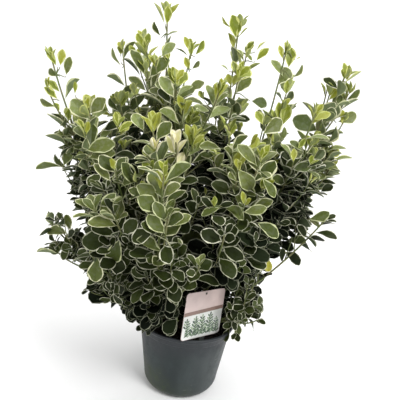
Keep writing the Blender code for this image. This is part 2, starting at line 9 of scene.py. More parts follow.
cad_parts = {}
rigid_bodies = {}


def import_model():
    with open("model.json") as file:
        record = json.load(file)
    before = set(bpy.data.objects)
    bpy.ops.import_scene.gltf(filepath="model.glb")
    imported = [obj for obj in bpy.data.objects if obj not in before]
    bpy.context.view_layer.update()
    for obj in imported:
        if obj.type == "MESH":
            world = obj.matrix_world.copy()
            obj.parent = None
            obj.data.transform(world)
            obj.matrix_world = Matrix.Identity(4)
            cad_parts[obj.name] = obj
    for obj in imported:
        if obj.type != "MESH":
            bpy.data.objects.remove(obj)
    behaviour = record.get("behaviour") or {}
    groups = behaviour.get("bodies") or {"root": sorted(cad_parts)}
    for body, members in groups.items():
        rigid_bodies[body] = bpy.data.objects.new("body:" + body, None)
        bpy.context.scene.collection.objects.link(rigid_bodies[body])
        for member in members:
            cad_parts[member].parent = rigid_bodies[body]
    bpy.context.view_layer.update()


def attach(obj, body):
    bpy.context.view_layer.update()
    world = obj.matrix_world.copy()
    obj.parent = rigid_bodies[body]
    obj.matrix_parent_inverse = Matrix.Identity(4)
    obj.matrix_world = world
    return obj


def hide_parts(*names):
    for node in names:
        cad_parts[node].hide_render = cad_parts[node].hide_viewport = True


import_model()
body = "root"
up = Vector((0, 0, 1))


def addObject(name, data):
    obj = bpy.data.objects.new(name, data)
    bpy.context.scene.collection.objects.link(obj)
    return obj


# The camera stands where the photo was taken from: angles in degrees, lengths in metres.
camera = {"eye": Vector((0.0004, -0.9058, 0.6344)), "pitch": 11.96, "roll": 6.58, "focalPixels": 420.0,
          "framePixels": 400.0, "sensor": 36.0}


def makeCamera():
    pitch, roll = math.radians(camera["pitch"]), math.radians(camera["roll"])
    forward = Vector((0, math.cos(pitch), -math.sin(pitch)))
    level = Vector((1, 0, 0))
    upright = level.cross(forward)
    right = level * math.cos(roll) + upright * math.sin(roll)
    top = upright * math.cos(roll) - level * math.sin(roll)
    data = bpy.data.cameras.new("camera")
    data.sensor_width = camera["sensor"]
    data.lens = camera["focalPixels"] / camera["framePixels"] * camera["sensor"]
    obj = addObject("camera", data)
    turn = Matrix((right, top, -forward)).transposed().to_4x4()
    obj.matrix_world = Matrix.Translation(camera["eye"]) @ turn
    bpy.context.scene.camera = obj


makeCamera()
print("camera placed")


# Nodes of materials and of Geometry Nodes alike: arithmetic on a Value adds Math nodes.
class Value:
    def __init__(self, owner, socket):
        self.owner = owner
        self.socket = socket

    def maths(self, operation, first, second):
        return self.owner.node("ShaderNodeMath", {"operation": operation}, {0: first, 1: second})

    def __add__(self, other):
        return self.maths("ADD", self, other)

    def __mul__(self, other):
        return self.maths("MULTIPLY", self, other)

    __radd__ = __add__
    __rmul__ = __mul__


class NodeTree:
    def __init__(self, tree):
        self.tree = tree

    def put(self, socket, value):
        if isinstance(value, Value):
            self.tree.links.new(value.socket, socket)
        else:
            socket.default_value = value

    def node(self, kind, settings=None, values=None, output=0):
        # Settings are set first, then the values or links of its sockets.
        made = self.tree.nodes.new(kind)
        for key, value in (settings or {}).items():
            setattr(made, key, value)
        for key, value in (values or {}).items():
            self.put(made.inputs[key], value)
        return Value(self, made.outputs[output])


class Finish(NodeTree):
    def __init__(self, name, colour, roughness, shine=0.5):
        self.material = bpy.data.materials.new(name)
        self.material.use_nodes = True
        super().__init__(self.material.node_tree)
        self.shader = self.tree.nodes["Principled BSDF"]
        self.feed({"Base Color": (*colour, 1.0), "Roughness": roughness, "Specular IOR Level": shine})
        self.place = self.node("ShaderNodeTexCoord", output="Object")

    def feed(self, values):
        for key, value in values.items():
            self.put(self.shader.inputs[key], value)

    def axis(self, label):
        return self.node("ShaderNodeSeparateXYZ", None, {"Vector": self.place}, label)

    def grain(self, scale, detail=3.0, stretch=(1, 1, 1), roughness=0.5):
        place = self.node("ShaderNodeMapping", None, {"Vector": self.place, "Scale": stretch})
        return self.node("ShaderNodeTexNoise", None,
                         {"Vector": place, "Scale": scale, "Detail": detail, "Roughness": roughness})

    def ramp(self, value, low, high):
        ends = {"From Min": low, "From Max": high, "Value": value}
        return self.node("ShaderNodeMapRange", {"interpolation_type": "SMOOTHSTEP"}, ends)

    def mix(self, share, first, second):
        colours = [value if isinstance(value, Value) else (*value, 1.0) for value in (first, second)]
        return self.node("ShaderNodeMix", {"data_type": "RGBA"}, {0: share, 6: colours[0], 7: colours[1]}, 2)

    def bump(self, height, strength, distance):
        relief = {"Height": height, "Strength": strength, "Distance": distance}
        self.feed({"Normal": self.node("ShaderNodeBump", None, relief)})


class GeometryTree(NodeTree):
    def __init__(self, name, inputs):
        super().__init__(bpy.data.node_groups.new(name, "GeometryNodeTree"))
        ports = self.tree.interface
        ports.new_socket("Geometry", in_out="INPUT", socket_type="NodeSocketGeometry")
        self.identifiers = {}
        for label, kind, value in inputs:
            socket = ports.new_socket(label, in_out="INPUT", socket_type=kind)
            if value is not None:
                socket.default_value = value
            self.identifiers[label] = socket.identifier
        ports.new_socket("Geometry", in_out="OUTPUT", socket_type="NodeSocketGeometry")
        self.entry = self.tree.nodes.new("NodeGroupInput")

    def given(self, label):
        return Value(self, self.entry.outputs[label])

    def realized(self, geometry):
        return self.node("GeometryNodeRealizeInstances", None, {"Geometry": geometry})

    def dressed(self, geometry, material, chosen=True):
        return self.node("GeometryNodeSetMaterial", None,
                         {"Geometry": geometry, "Selection": chosen, "Material": material})

    def finish(self, geometry):
        out = self.tree.nodes.new("NodeGroupOutput")
        self.put(out.inputs[0], geometry)


def plainMesh(obj, name):
    # The object's evaluated shape as a plain mesh; the object itself goes.
    bpy.context.view_layer.update()
    evaluated = obj.evaluated_get(bpy.context.evaluated_depsgraph_get())
    mesh = bpy.data.meshes.new_from_object(evaluated)
    mesh.name = name
    obj.modifiers.clear()
    bpy.data.objects.remove(obj, do_unlink=True)
    return mesh


def runTree(obj, tree, name, values=None):
    modifier = obj.modifiers.new("grow", "NODES")
    modifier.node_group = tree.tree
    for label, value in (values or {}).items():
        modifier[tree.identifiers[label]] = value
    return addObject(name, plainMesh(obj, name))


def rideAlong(piece, slot, *nodes):
    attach(piece, body)
    if nodes:
        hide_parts(*nodes)


def quarterArc(x, y, radius, start, steps):
    # A quarter turn round a centre, from a bearing in degrees.
    angles = [math.radians(start + 90 * step / steps) for step in range(steps + 1)]
    return [(x + radius * math.cos(angle), y + radius * math.sin(angle)) for angle in angles]


# The pot, its compost and the short stem keep the solids' own sizes, in metres.
pot = {
    "height": 0.165, "rimRadius": 0.1125, "footRadius": 0.0825, "footRound": 0.026, "wall": 0.0022,
    "floor": 0.0035, "bandHeight": 0.022, "bandStep": 0.0018, "lipHeight": 0.006, "lipStep": 0.0028,
    "ringWidth": 0.0037, "recess": 0.0012, "softening": 0.0011, "softSteps": 4, "footSteps": 12, "sides": 192,
    # how much of a profile's shortest line a softened corner may take
    "softShare": 0.4,
}
potFinish = {
    "base": (0.011, 0.019, 0.020), "shine": 0.38, "roughness": 0.44, "dustRoughness": 0.18,
    "mossRoughness": 0.08, "mossShare": 0.52, "dampShare": 0.40, "grainScale": 420.0, "grainDepth": 0.0006,
    "grainStrength": 0.25, "scratchDepth": 0.6,
    # each pattern's noise (scale, detail, stretch, roughness), the shares of noise, of x and of height in it,
    # and where it starts and is full
    "patterns": {
        "dust": ((26.0, 5.0, (1, 1, 0.55), 0.62), (1, 0, 0), (0.47, 0.72)),
        "moss": ((95.0, 5.0, (1, 1, 1), 0.7), (1, 0, 0), (0.44, 0.62)),
        "damp": ((15.0, 4.0, (1, 1, 1), 0.5), (1.3, -7.0, -9.0), (0.10, 0.85)),
        "scratches": ((70.0, 2.0, (0.3, 0.3, 3.2), 0.8), (1, 0, 0), (0.70, 0.74)),
        # Painted light: the next pattern lightens the pot towards its right-hand side, the side the key lamp
        # is on.
        "painted_lit_side": ((9.0, 3.0, (1, 1, 0.3), 0.5), (1.2, 9.0, 0), (0.35, 1.45)),
        # Painted shade: the next pattern darkens the wall high up, under the rim.
        "painted_shade_high": ((22.0, 4.0, (1, 1, 1), 0.5), (1.6, 0, 22.0), (2.9, 4.1)),
        "streaks": ((34.0, 4.0, (1, 1, 0.12), 0.6), (1, 0, 0), (0.46, 0.66)),
    },
    # share and colour of each layer, the lowest first
    # The lit side's lighter colour is painted light; the high band's darker colour is painted shade.
    "layers": {"dust": (0.55, (0.042, 0.058, 0.058)), "painted_lit_side": (0.7, (0.056, 0.067, 0.068)),
               "painted_shade_high": (0.85, (0.019, 0.022, 0.027)), "streaks": (0.28, (0.012, 0.018, 0.018)),
               "moss": (1.0, (0.035, 0.049, 0.021)), "scratches": (0.5, (0.19, 0.21, 0.20))},
}


def wallRadius(height):
    top = pot["rimRadius"] - pot["lipStep"] - pot["bandStep"]
    return pot["footRadius"] + (top - pot["footRadius"]) * height / pot["height"]


def softened(profile, radius, steps):
    # Round each corner of a profile with a short curve.
    points = [Vector(point) for point in profile]
    result = [points[0]]
    for before, corner, after in zip(points, points[1:], points[2:]):
        inward, outward = before - corner, after - corner
        reach = min(radius, inward.length * pot["softShare"], outward.length * pot["softShare"])
        first = corner + inward.normalized() * reach
        last = corner + outward.normalized() * reach
        for step in range(steps + 1):
            t = step / steps
            result.append(first * (1 - t) ** 2 + corner * 2 * t * (1 - t) + last * t * t)
    return result + [points[-1]]


def turned(name, profile, sides, material):
    # Spin a profile of (radius, height) points round the upright axis.
    shape = bmesh.new()
    points = [shape.verts.new((radius, 0, height)) for radius, height in profile]
    edges = [shape.edges.new(pair) for pair in zip(points, points[1:])]
    bmesh.ops.spin(shape, geom=points + edges, cent=(0, 0, 0), axis=(0, 0, 1), angle=math.tau, steps=sides,
                   use_merge=True)
    bmesh.ops.remove_doubles(shape, verts=shape.verts, dist=1e-6)
    bmesh.ops.recalc_face_normals(shape, faces=shape.faces)
    mesh = bpy.data.meshes.new(name)
    shape.to_mesh(mesh)
    shape.free()
    mesh.shade_smooth()
    mesh.materials.append(material)
    return addObject(name, mesh)


def potPlastic():
    # Dull grey-green plastic: mossy low on one side, scuffed and dusty elsewhere, with painted light on its
    # right side and painted shade high on the wall under the rim.
    finish = Finish("pot_plastic", potFinish["base"], potFinish["roughness"], potFinish["shine"])
    x, z = finish.axis("X"), finish.axis("Z")
    masks = {}
    for pattern, (grain, (share, sideways, upwards), span) in potFinish["patterns"].items():
        value = finish.grain(*grain) * share
        for axis, slope in ((z, upwards), (x, sideways)):
            if slope:
                value = value + axis * slope
        masks[pattern] = finish.ramp(value, *span)
    dull = masks["dust"] * potFinish["dustRoughness"] + masks["moss"] * potFinish["mossRoughness"]
    masks["moss"] = masks["damp"] * (masks["moss"] * potFinish["mossShare"] + potFinish["dampShare"])
    colour = potFinish["base"]
    for layer, (share, tint) in potFinish["layers"].items():
        colour = finish.mix(masks[layer] * share, colour, tint)
    finish.feed({"Base Color": colour, "Roughness": dull + potFinish["roughness"]})
    relief = finish.grain(potFinish["grainScale"]) + masks["scratches"] * potFinish["scratchDepth"]
    finish.bump(relief, potFinish["grainStrength"], potFinish["grainDepth"])
    return finish.material


def makePot():
    bandFoot = pot["height"] - pot["bandHeight"]
    lipFoot = pot["height"] - pot["lipHeight"]
    bandRadius = wallRadius(bandFoot)
    lipInner = pot["rimRadius"] - pot["lipStep"]
    ringOuter = wallRadius(0) - pot["footRound"]
    ringInner = ringOuter - pot["ringWidth"]
    centre = wallRadius(pot["footRound"]) - pot["footRound"]
    profile = [(0, pot["recess"]), (ringInner - pot["recess"], pot["recess"]), (ringInner, 0), (ringOuter, 0)]
    profile += quarterArc(centre, pot["footRound"], pot["footRound"], -90, pot["footSteps"])[1:]
    outer = [
        (bandRadius, bandFoot),
        (bandRadius + pot["bandStep"], bandFoot + pot["bandStep"]),
        (lipInner, lipFoot - pot["lipStep"]),
        (pot["rimRadius"], lipFoot),
        (pot["rimRadius"], pot["height"] - pot["wall"] / 2),
        (pot["rimRadius"] - pot["wall"] / 2, pot["height"]),
        (lipInner - pot["wall"], pot["height"]),
        (bandRadius - pot["wall"], bandFoot),
        (wallRadius(pot["floor"]) - pot["footRound"] / 2, pot["floor"]),
        (0, pot["floor"]),
    ]
    profile += softened([profile[-1]] + outer, pot["softening"], pot["softSteps"])[1:]
    rideAlong(turned("pot_shell", profile, pot["sides"], potPlastic()), "pot_plastic", "pot")


compost = {
    "level": 0.140, "dip": 0.006, "clearance": 0.0006, "lumpHeight": 0.0042, "lumpScale": 75,
    "calmRadius": 0.03, "rings": 56, "sectors": 150, "crumbs": 52000.0, "crumbSize": (0.0006, 0.0019),
    "crumbShape": ((0.7, 0.7, 0.5), (1.7, 1.1, 1.0)), "wet": (0.012, 0.008, 0.006),
    "dry": (0.055, 0.036, 0.024), "roughness": 0.95, "patchScale": 260.0, "patchSpan": (0.45, 0.7),
    "grainScale": 700.0, "grainStrength": 0.8, "grainDepth": 0.0012,
}


def compostFinish():
    finish = Finish("compost", compost["wet"], compost["roughness"])
    dry = finish.ramp(finish.grain(compost["patchScale"], 5.0), *compost["patchSpan"])
    finish.feed({"Base Color": finish.mix(dry, compost["wet"], compost["dry"])})
    finish.bump(finish.grain(compost["grainScale"], 5.0), compost["grainStrength"], compost["grainDepth"])
    return finish.material


def crumbTree(material):
    small, large = compost["crumbSize"]
    narrow, wide = compost["crumbShape"]
    tree = GeometryTree("crumbs", [("Density", "NodeSocketFloat", compost["crumbs"]),
                                   ("Smallest", "NodeSocketFloat", small),
                                   ("Largest", "NodeSocketFloat", large)])
    points = tree.node("GeometryNodeDistributePointsOnFaces", None,
                       {"Mesh": tree.given("Geometry"), "Density": tree.given("Density"), "Seed": 7})
    grain = tree.node("GeometryNodeMeshIcoSphere", None, {"Radius": 1.0, "Subdivisions": 1})
    turn = tree.node("FunctionNodeRandomValue", {"data_type": "FLOAT_VECTOR"},
                     {"Min": (0, 0, 0), "Max": (6.3, 6.3, 6.3), "Seed": 1})
    size = tree.node("FunctionNodeRandomValue", {"data_type": "FLOAT"},
                     {2: tree.given("Smallest"), 3: tree.given("Largest"), "Seed": 2}, 1)
    stretch = tree.node("FunctionNodeRandomValue", {"data_type": "FLOAT_VECTOR"},
                        {"Min": narrow, "Max": wide, "Seed": 3})
    scale = tree.node("ShaderNodeVectorMath", {"operation": "SCALE"}, {0: stretch, "Scale": size})
    crumbs = tree.node("GeometryNodeInstanceOnPoints", None,
                       {"Points": points, "Instance": grain, "Rotation": turn, "Scale": scale})
    tree.finish(tree.dressed(tree.realized(crumbs), material))
    return tree


def makeCompost():
    # A lumpy round bed that meets the inside of the wall, with loose crumbs on it.
    level, rings, sectors = compost["level"], compost["rings"], compost["sectors"]
    reach = wallRadius(level) - pot["wall"] - compost["clearance"]
    vertices = [(0, 0, level)]
    for ring in range(1, rings + 1):
        radius = reach * ring / rings
        for sector in range(sectors):
            bearing = math.tau * sector / sectors
            x, y = radius * math.cos(bearing), radius * math.sin(bearing)
            lump = noise.fractal(Vector((x, y, 0)) * compost["lumpScale"], 1.0, 2.1, 5)
            lump *= min(1.0, radius / compost["calmRadius"])
            vertices.append((x, y, level - compost["dip"] * ring / rings + compost["lumpHeight"] * lump))
    faces = [(0, 1 + sector, 1 + (sector + 1) % sectors) for sector in range(sectors)]
    for ring in range(rings - 1):
        for sector in range(sectors):
            a = 1 + ring * sectors + sector
            b = 1 + ring * sectors + (sector + 1) % sectors
            faces.append((a, a + sectors, b + sectors, b))
    mesh = bpy.data.meshes.new("compost_bed")
    mesh.from_pydata(vertices, [], faces)
    mesh.shade_smooth()
    material = compostFinish()
    mesh.materials.append(material)
    rideAlong(addObject("compost_bed", mesh), "compost", "compost")
    source = addObject("crumb_source", mesh.copy())
    rideAlong(runTree(source, crumbTree(material), "compost_crumbs"), "compost")


# The care card: a plain print of the builder's own, pale above a brown band, with leafy sprigs below.
card = {
    "width": 0.101, "height": 0.1055, "thickness": 0.0006, "corner": 0.007, "bevel": 0.0001,
    "centre": Vector((0.0355, -0.0885, 0.2178)), "turn": 37.0, "spin": 2.0, "holeRadius": 0.0024,
    "holeDrop": 0.006, "printInset": 0.0006, "bandLeft": 0.001, "bandRight": 0.006, "bandWidth": 0.0085,
    "ink": 0.00006, "cornerSteps": 8, "ovalSteps": 16, "holeSteps": 24, "fuller": 0.25,
    # the space in front of it that leaves keep clear of: depths, then shares of its width and height
    "viewBehind": 0.012, "viewDepth": 0.30, "viewAcross": (-0.07, 1.07), "viewUp": (-0.35, 1.09),
    "patchScale": 40.0, "patchSpan": (0.4, 0.6), "dulling": 0.92,
    "boardRoughness": 0.32, "inkRoughness": 0.35,
    "colours": {"board": (0.66, 0.53, 0.50), "panel": (0.70, 0.71, 0.68), "band": (0.24, 0.155, 0.125),
                "stems": (0.10, 0.12, 0.09), "leaves_pale": (0.30, 0.38, 0.25),
                "leaves_dark": (0.045, 0.075, 0.050), "leaves_mid": (0.11, 0.17, 0.10)},
}
sprig = {
    "foot": -0.0475, "pairs": 6, "stemWidth": 0.0008, "tipWidth": 0.0004,
    # shares of a sprig's height, then of a leaf's length
    "firstPair": 0.04, "pairGap": 0.16, "leafLength": 0.29, "shortening": 0.02, "tipLeaf": (0.1, 0.04),
    "lift": 0.95, "leafMiddle": 0.55, "leafHalves": (0.5, 0.21),
    # foot across, lean in degrees and height of each sprig
    "places": [(-0.043, 3, 0.040), (-0.034, -5, 0.034), (-0.024, 8, 0.043), (-0.014, -4, 0.037),
               (-0.005, 5, 0.044), (0.005, -6, 0.038), (0.014, 7, 0.046), (0.024, -3, 0.039),
               (0.034, 4, 0.034), (0.042, -4, 0.028)],
}
# The stake's near-black colour is painted shade: it stands in for the shade behind the card.
stake = {"width": 0.012, "thickness": 0.0016, "shift": 0.006, "top": 0.030, "point": 0.095, "gap": 0.0003,
         "bevel": 0.0003, "colour": (0.05, 0.055, 0.05), "roughness": 0.4}
cardTurn = Matrix.Rotation(math.radians(card["turn"]), 3, "Z")
cardOut = cardTurn @ Vector((0, -1, 0))
cardSpin = Matrix.Rotation(-math.radians(card["spin"]), 3, cardOut)
cardRight = cardSpin @ (cardTurn @ Vector((1, 0, 0)))
cardUp = cardSpin @ up
cardPlane = Matrix((cardRight, cardUp, cardOut)).transposed().to_4x4()
cardPlane.translation = card["centre"]


def flatPiece(name, outlines, thickness, offset, material, bevel):
    # A flat shape in the card's plane, filled between its outlines; offset is where its front lies.
    data = bpy.data.curves.new(name, "CURVE")
    data.dimensions = "2D"
    data.fill_mode = "BOTH"
    data.extrude = thickness / 2 - bevel
    data.bevel_depth = bevel
    data.offset = -bevel
    for outline in outlines:
        spline = data.splines.new("POLY")
        spline.points.add(len(outline) - 1)
        for point, (x, y) in zip(spline.points, outline):
            point.co = (x, y, 0, 1)
        spline.use_cyclic_u = True
    mesh = plainMesh(addObject(name + "_outline", data), name)
    mesh.transform(cardPlane @ Matrix.Translation((0, 0, offset - thickness / 2)))
    mesh.materials.clear()
    mesh.materials.append(material)
    return addObject(name, mesh)


def oval(centre, long, wide, angle, count):
    # An ellipse with its long axis at an angle, a little fuller towards one end.
    c, s = math.cos(angle), math.sin(angle)
    outline = []
    for k in range(count):
        turn = math.tau * k / count
        along, across = long * math.cos(turn), wide * math.sin(turn) * (1 + card["fuller"] * math.cos(turn))
        outline.append((centre[0] + c * along - s * across, centre[1] + s * along + c * across))
    return outline


def plainFinish(name, colour, roughness):
    # One colour, with faintly duller patches.
    finish = Finish(name, colour, roughness)
    patches = finish.ramp(finish.grain(card["patchScale"]), *card["patchSpan"])
    dull = [channel * card["dulling"] for channel in colour]
    finish.feed({"Base Color": finish.mix(patches, colour, dull)})
    return finish.material


def inkPiece(label, polygons, layer):
    # Flat shapes printed on the card, each layer a hair above the last.
    name = "card_" + label
    mesh = bpy.data.meshes.new(name)
    vertices = []
    faces = []
    for polygon in polygons:
        faces.append(tuple(range(len(vertices), len(vertices) + len(polygon))))
        vertices += [(x, y, card["ink"] * (1 + layer)) for x, y in polygon]
    mesh.from_pydata(vertices, [], faces)
    mesh.transform(cardPlane)
    mesh.materials.append(plainFinish(name, card["colours"][label], card["inkRoughness"]))
    rideAlong(addObject(name, mesh), "card_print")


def sprigShapes():
    # Upright sprigs side by side: each a slanting stem with pairs of leaves and one at its tip.
    leaves = [[], [], []]
    stems = []
    halfLong, halfWide = sprig["leafHalves"]
    foot, end = sprig["stemWidth"] / 2, sprig["tipWidth"] / 2
    for number, (x, lean, size) in enumerate(sprig["places"]):
        base = Vector((x, sprig["foot"]))
        way = Vector((math.sin(math.radians(lean)), math.cos(math.radians(lean))))
        flank = Vector((way.y, -way.x))
        top = base + way * size
        stems.append([base - flank * foot, base + flank * foot, top + flank * end, top - flank * end])
        for pair in range(sprig["pairs"]):
            root = base + way * size * (sprig["firstPair"] + sprig["pairGap"] * pair)
            length = size * (sprig["leafLength"] - sprig["shortening"] * pair)
            for side in (1, -1):
                out = (way * sprig["lift"] + flank * side).normalized()
                middle = root + out * length * sprig["leafMiddle"]
                if abs(middle.x) + length * halfLong < card["width"] / 2:
                    angle = math.atan2(out.y, out.x)
                    leaf = oval(middle, length * halfLong, length * halfWide, angle, card["ovalSteps"])
                    leaves[(number + pair) % 3].append(leaf)
        long, wide = [size * share for share in sprig["tipLeaf"]]
        leaves[number % 3].append(oval(top, long, wide, math.atan2(way.y, way.x), card["ovalSteps"]))
    return leaves, stems


def makeCard():
    width, height, corner = card["width"], card["height"], card["corner"]
    steps = card["cornerSteps"]
    outline = []
    for signX, signY, start in ((1, 1, 0), (-1, 1, 90), (-1, -1, 180), (1, -1, 270)):
        centre = signX * (width / 2 - corner), signY * (height / 2 - corner)
        outline += quarterArc(*centre, corner, start, steps)
    radius = card["holeRadius"]
    hole = oval((0, height / 2 - card["holeDrop"]), radius, radius, 0, card["holeSteps"])
    material = plainFinish("card_pale", card["colours"]["board"], card["boardRoughness"])
    board = flatPiece("card_board", [outline, hole], card["thickness"], 0, material, card["bevel"])
    rideAlong(board, "card_print", "care_card")
    edge = width / 2 - card["printInset"]
    low = card["printInset"] - height / 2 + corner
    left, right, thick = card["bandLeft"], card["bandRight"], card["bandWidth"]
    panel = [(edge, right), (-edge, left)]
    panel += quarterArc(corner - edge, low, corner, 180, steps)
    panel += quarterArc(edge - corner, low, corner, 270, steps)
    band = [(-edge, left), (edge, right), (edge, right + thick), (-edge, left + thick)]
    (dark, pale, middling), stems = sprigShapes()
    inkPiece("panel", [panel], 0)
    inkPiece("band", [band], 1)
    inkPiece("stems", stems, 1)
    inkPiece("leaves_pale", pale, 2)
    inkPiece("leaves_dark", dark, 3)
    inkPiece("leaves_mid", middling, 4)


def makeStake():
    left, right = stake["shift"] - stake["width"] / 2, stake["shift"] + stake["width"] / 2
    shoulder = stake["width"] - stake["point"]
    outline = [(left, -stake["top"]), (left, shoulder), (stake["shift"], -stake["point"]), (right, shoulder),
               (right, -stake["top"])]
    # Painted shade: the stake's plastic takes the near-black colour above.
    material = plainFinish("stake_plastic", stake["colour"], stake["roughness"])
    depth = -card["thickness"] - stake["gap"]
    piece = flatPiece("stake_blade", [outline], stake["thickness"], depth, material, stake["bevel"])
    rideAlong(piece, "stake_plastic", "card_stake")


# Leaf finishes: blade and margin by age, each age in a few shades dealt out by spray.
leafFinish = {
    # Leaves deep inside the crown have nearly black blades, darker margins and dark undersides: painted
    # shade.
    "blades": {
        "deep": [(0.004, 0.006, 0.003), (0.007, 0.011, 0.005), (0.012, 0.018, 0.007)],
        "old": [(0.016, 0.023, 0.005), (0.027, 0.038, 0.008), (0.043, 0.058, 0.013), (0.078, 0.104, 0.030)],
        "mid": [(0.057, 0.078, 0.014), (0.085, 0.111, 0.020), (0.124, 0.150, 0.034), (0.190, 0.232, 0.066)],
        "young": [(0.170, 0.210, 0.016), (0.225, 0.265, 0.020), (0.300, 0.320, 0.032)],
        "cream": [(0.66, 0.65, 0.28), (0.74, 0.71, 0.38), (0.78, 0.74, 0.44)],
        "yellow": [(0.31, 0.29, 0.018)],
    },
    "margins": {
        "deep": [(0.27, 0.28, 0.20), (0.14, 0.15, 0.10)],
        "old": [(0.60, 0.60, 0.45), (0.42, 0.43, 0.30)],
        "mid": [(0.66, 0.66, 0.42), (0.48, 0.51, 0.27)],
        "young": [(0.55, 0.57, 0.19), (0.44, 0.48, 0.13)],
        "cream": [(0.82, 0.78, 0.58), (0.80, 0.74, 0.50)],
        "yellow": [(0.40, 0.38, 0.07)],
    },
    "undersides": {"deep": (0.028, 0.038, 0.020), "old": (0.070, 0.096, 0.045), "mid": (0.16, 0.20, 0.09),
                   "young": (0.30, 0.35, 0.12), "cream": (0.78, 0.75, 0.46), "yellow": (0.33, 0.31, 0.06)},
    "roughness": {"deep": 0.55, "old": 0.46, "mid": 0.42, "young": 0.44, "cream": 0.5, "yellow": 0.5},
    "mottle": {"deep": 0.15, "old": 0.34, "mid": 0.40, "young": 0.18, "cream": 0.1, "yellow": 0.2},
    "shine": {"deep": 0.03, "old": 0.09, "mid": 0.20, "young": 0.28, "cream": 0.3, "yellow": 0.3},
    "marginRoughness": 0.06, "marginMottle": 0.12, "underRoughness": 0.6, "underMottle": 0.2,
    # blotches: their scale, where they start and are full, and the shares of own colour and grey in them
    "mottleScale": 150.0, "mottleSpan": (0.42, 0.66), "mottleOwn": 0.75, "mottleGrey": 1.05,
    "sheenScale": 900.0, "sheenSwing": 0.16, "waxScale": 330.0, "waxStrength": 0.35, "waxDepth": 0.0006,
}


def leafMaterial(name, colour, roughness, mottle, shine):
    # Grey-green blotches over the base green, and a fine unevenness in the wax.
    look = leafFinish
    finish = Finish(name, colour, roughness, shine)
    blotch = finish.ramp(finish.grain(look["mottleScale"], 2.0), *look["mottleSpan"])
    grey = sum(colour) / 3
    pale = [look["mottleOwn"] * channel + look["mottleGrey"] * grey for channel in colour]
    sheen = finish.grain(look["sheenScale"], 2.0) * look["sheenSwing"] + (roughness - look["sheenSwing"] / 2)
    finish.feed({"Base Color": finish.mix(blotch * mottle, colour, pale), "Roughness": sheen})
    finish.bump(finish.grain(look["waxScale"], 2.0), look["waxStrength"], look["waxDepth"])
    return finish.material


def leafMaterials(age):
    look = leafFinish
    rough, mottle, shine = (look[key][age] for key in ("roughness", "mottle", "shine"))
    made = {}
    for number, colour in enumerate(look["blades"][age]):
        made["blade", number] = leafMaterial(f"blade_{age}_{number}", colour, rough, mottle, shine)
    duller = rough + look["marginRoughness"]
    for number, colour in enumerate(look["margins"][age]):
        name = f"margin_{age}_{number}"
        made["margin", number] = leafMaterial(name, colour, duller, look["marginMottle"], shine)
    made["under", 0] = leafMaterial(f"underside_{age}", look["undersides"][age], look["underRoughness"],
                                    look["underMottle"], shine)
    return made


# Branching: the same named sizes and rule as the solids, carried on to finer shoots.
crown = {
    "foot": Vector((0, 0, 0.170)), "gap": 0.0003, "stoolHeight": 0.014, "stoolRadius": 0.026,
    "boughFootRadius": 0.0037, "boughTipRadius": 0.0025, "entryShare": 0.27, "seed": 41, "goldenAngle": 137.5,
    # how the boughs fan out over the stool's dome, in degrees, and are then pushed apart
    "fanLean": 88, "steepest": 76, "fanPower": 0.62, "startSpacing": 17.0, "sweeps": 200, "lowestStart": 0.04,
    # how far a bough's curve turns from its first way and to its last one, and how long it keeps each
    "leaveTurn": 0.25, "arriveTurn": 0.55, "leaveReach": 0.30, "arriveReach": 0.34,
    # how near in degrees a leader has to be to count for the crown's reach in a direction
    "neighbourAngle": 13,
}
# name: bearing from +X towards +Y, lean from upright in degrees, reach in metres, how upright its tip is
masses = {
    "top_left": (153, 11, 0.685, 0.9),
    "top_right": (45, 5, 0.665, 1.0),
    "upper_left": (155, 22, 0.640, 0.8),
    "upper_middle": (-146, 9, 0.580, 0.9),
    "upper_right": (0, 13, 0.630, 1.0),
    "far_right_high": (0, 25, 0.640, 0.9),
    "far_left_high": (180, 32, 0.650, 0.8),
    "left_shoulder": (-159, 29, 0.520, 0.7),
    "right_shoulder": (-24, 24, 0.543, 0.8),
    "front_tall": (-106, 24, 0.478, 0.9),
    "front_right": (-69, 26, 0.480, 0.8),
    "right_side": (6, 35, 0.500, 0.6),
    "front_left": (-127, 35, 0.438, 0.7),
    "left_side": (178, 43, 0.445, 0.6),
    "left_low": (-171, 58, 0.375, 0.4),
    "right_low": (-8, 45, 0.390, 0.5),
    "right_foot": (-26, 66, 0.185, 0.3),
    "front_low": (-104, 49, 0.333, 0.5),
    "left_foot": (-172, 76, 0.225, 0.1),
    "front_left_low": (-134, 55, 0.320, 0.3),
    "back_high": (84, 18, 0.600, 0.9),
    "back_right_high": (42, 24, 0.620, 0.8),
    "back_left_high": (132, 31, 0.573, 0.8),
    "back_middle": (90, 38, 0.492, 0.6),
    "back_right": (45, 45, 0.439, 0.5),
    "back_left": (140, 54, 0.388, 0.3),
    "back_low": (96, 64, 0.275, 0.3),
}


# Places that were read off the photo are in millimetres.
def metres(row):
    return [number / 1000 for number in row]


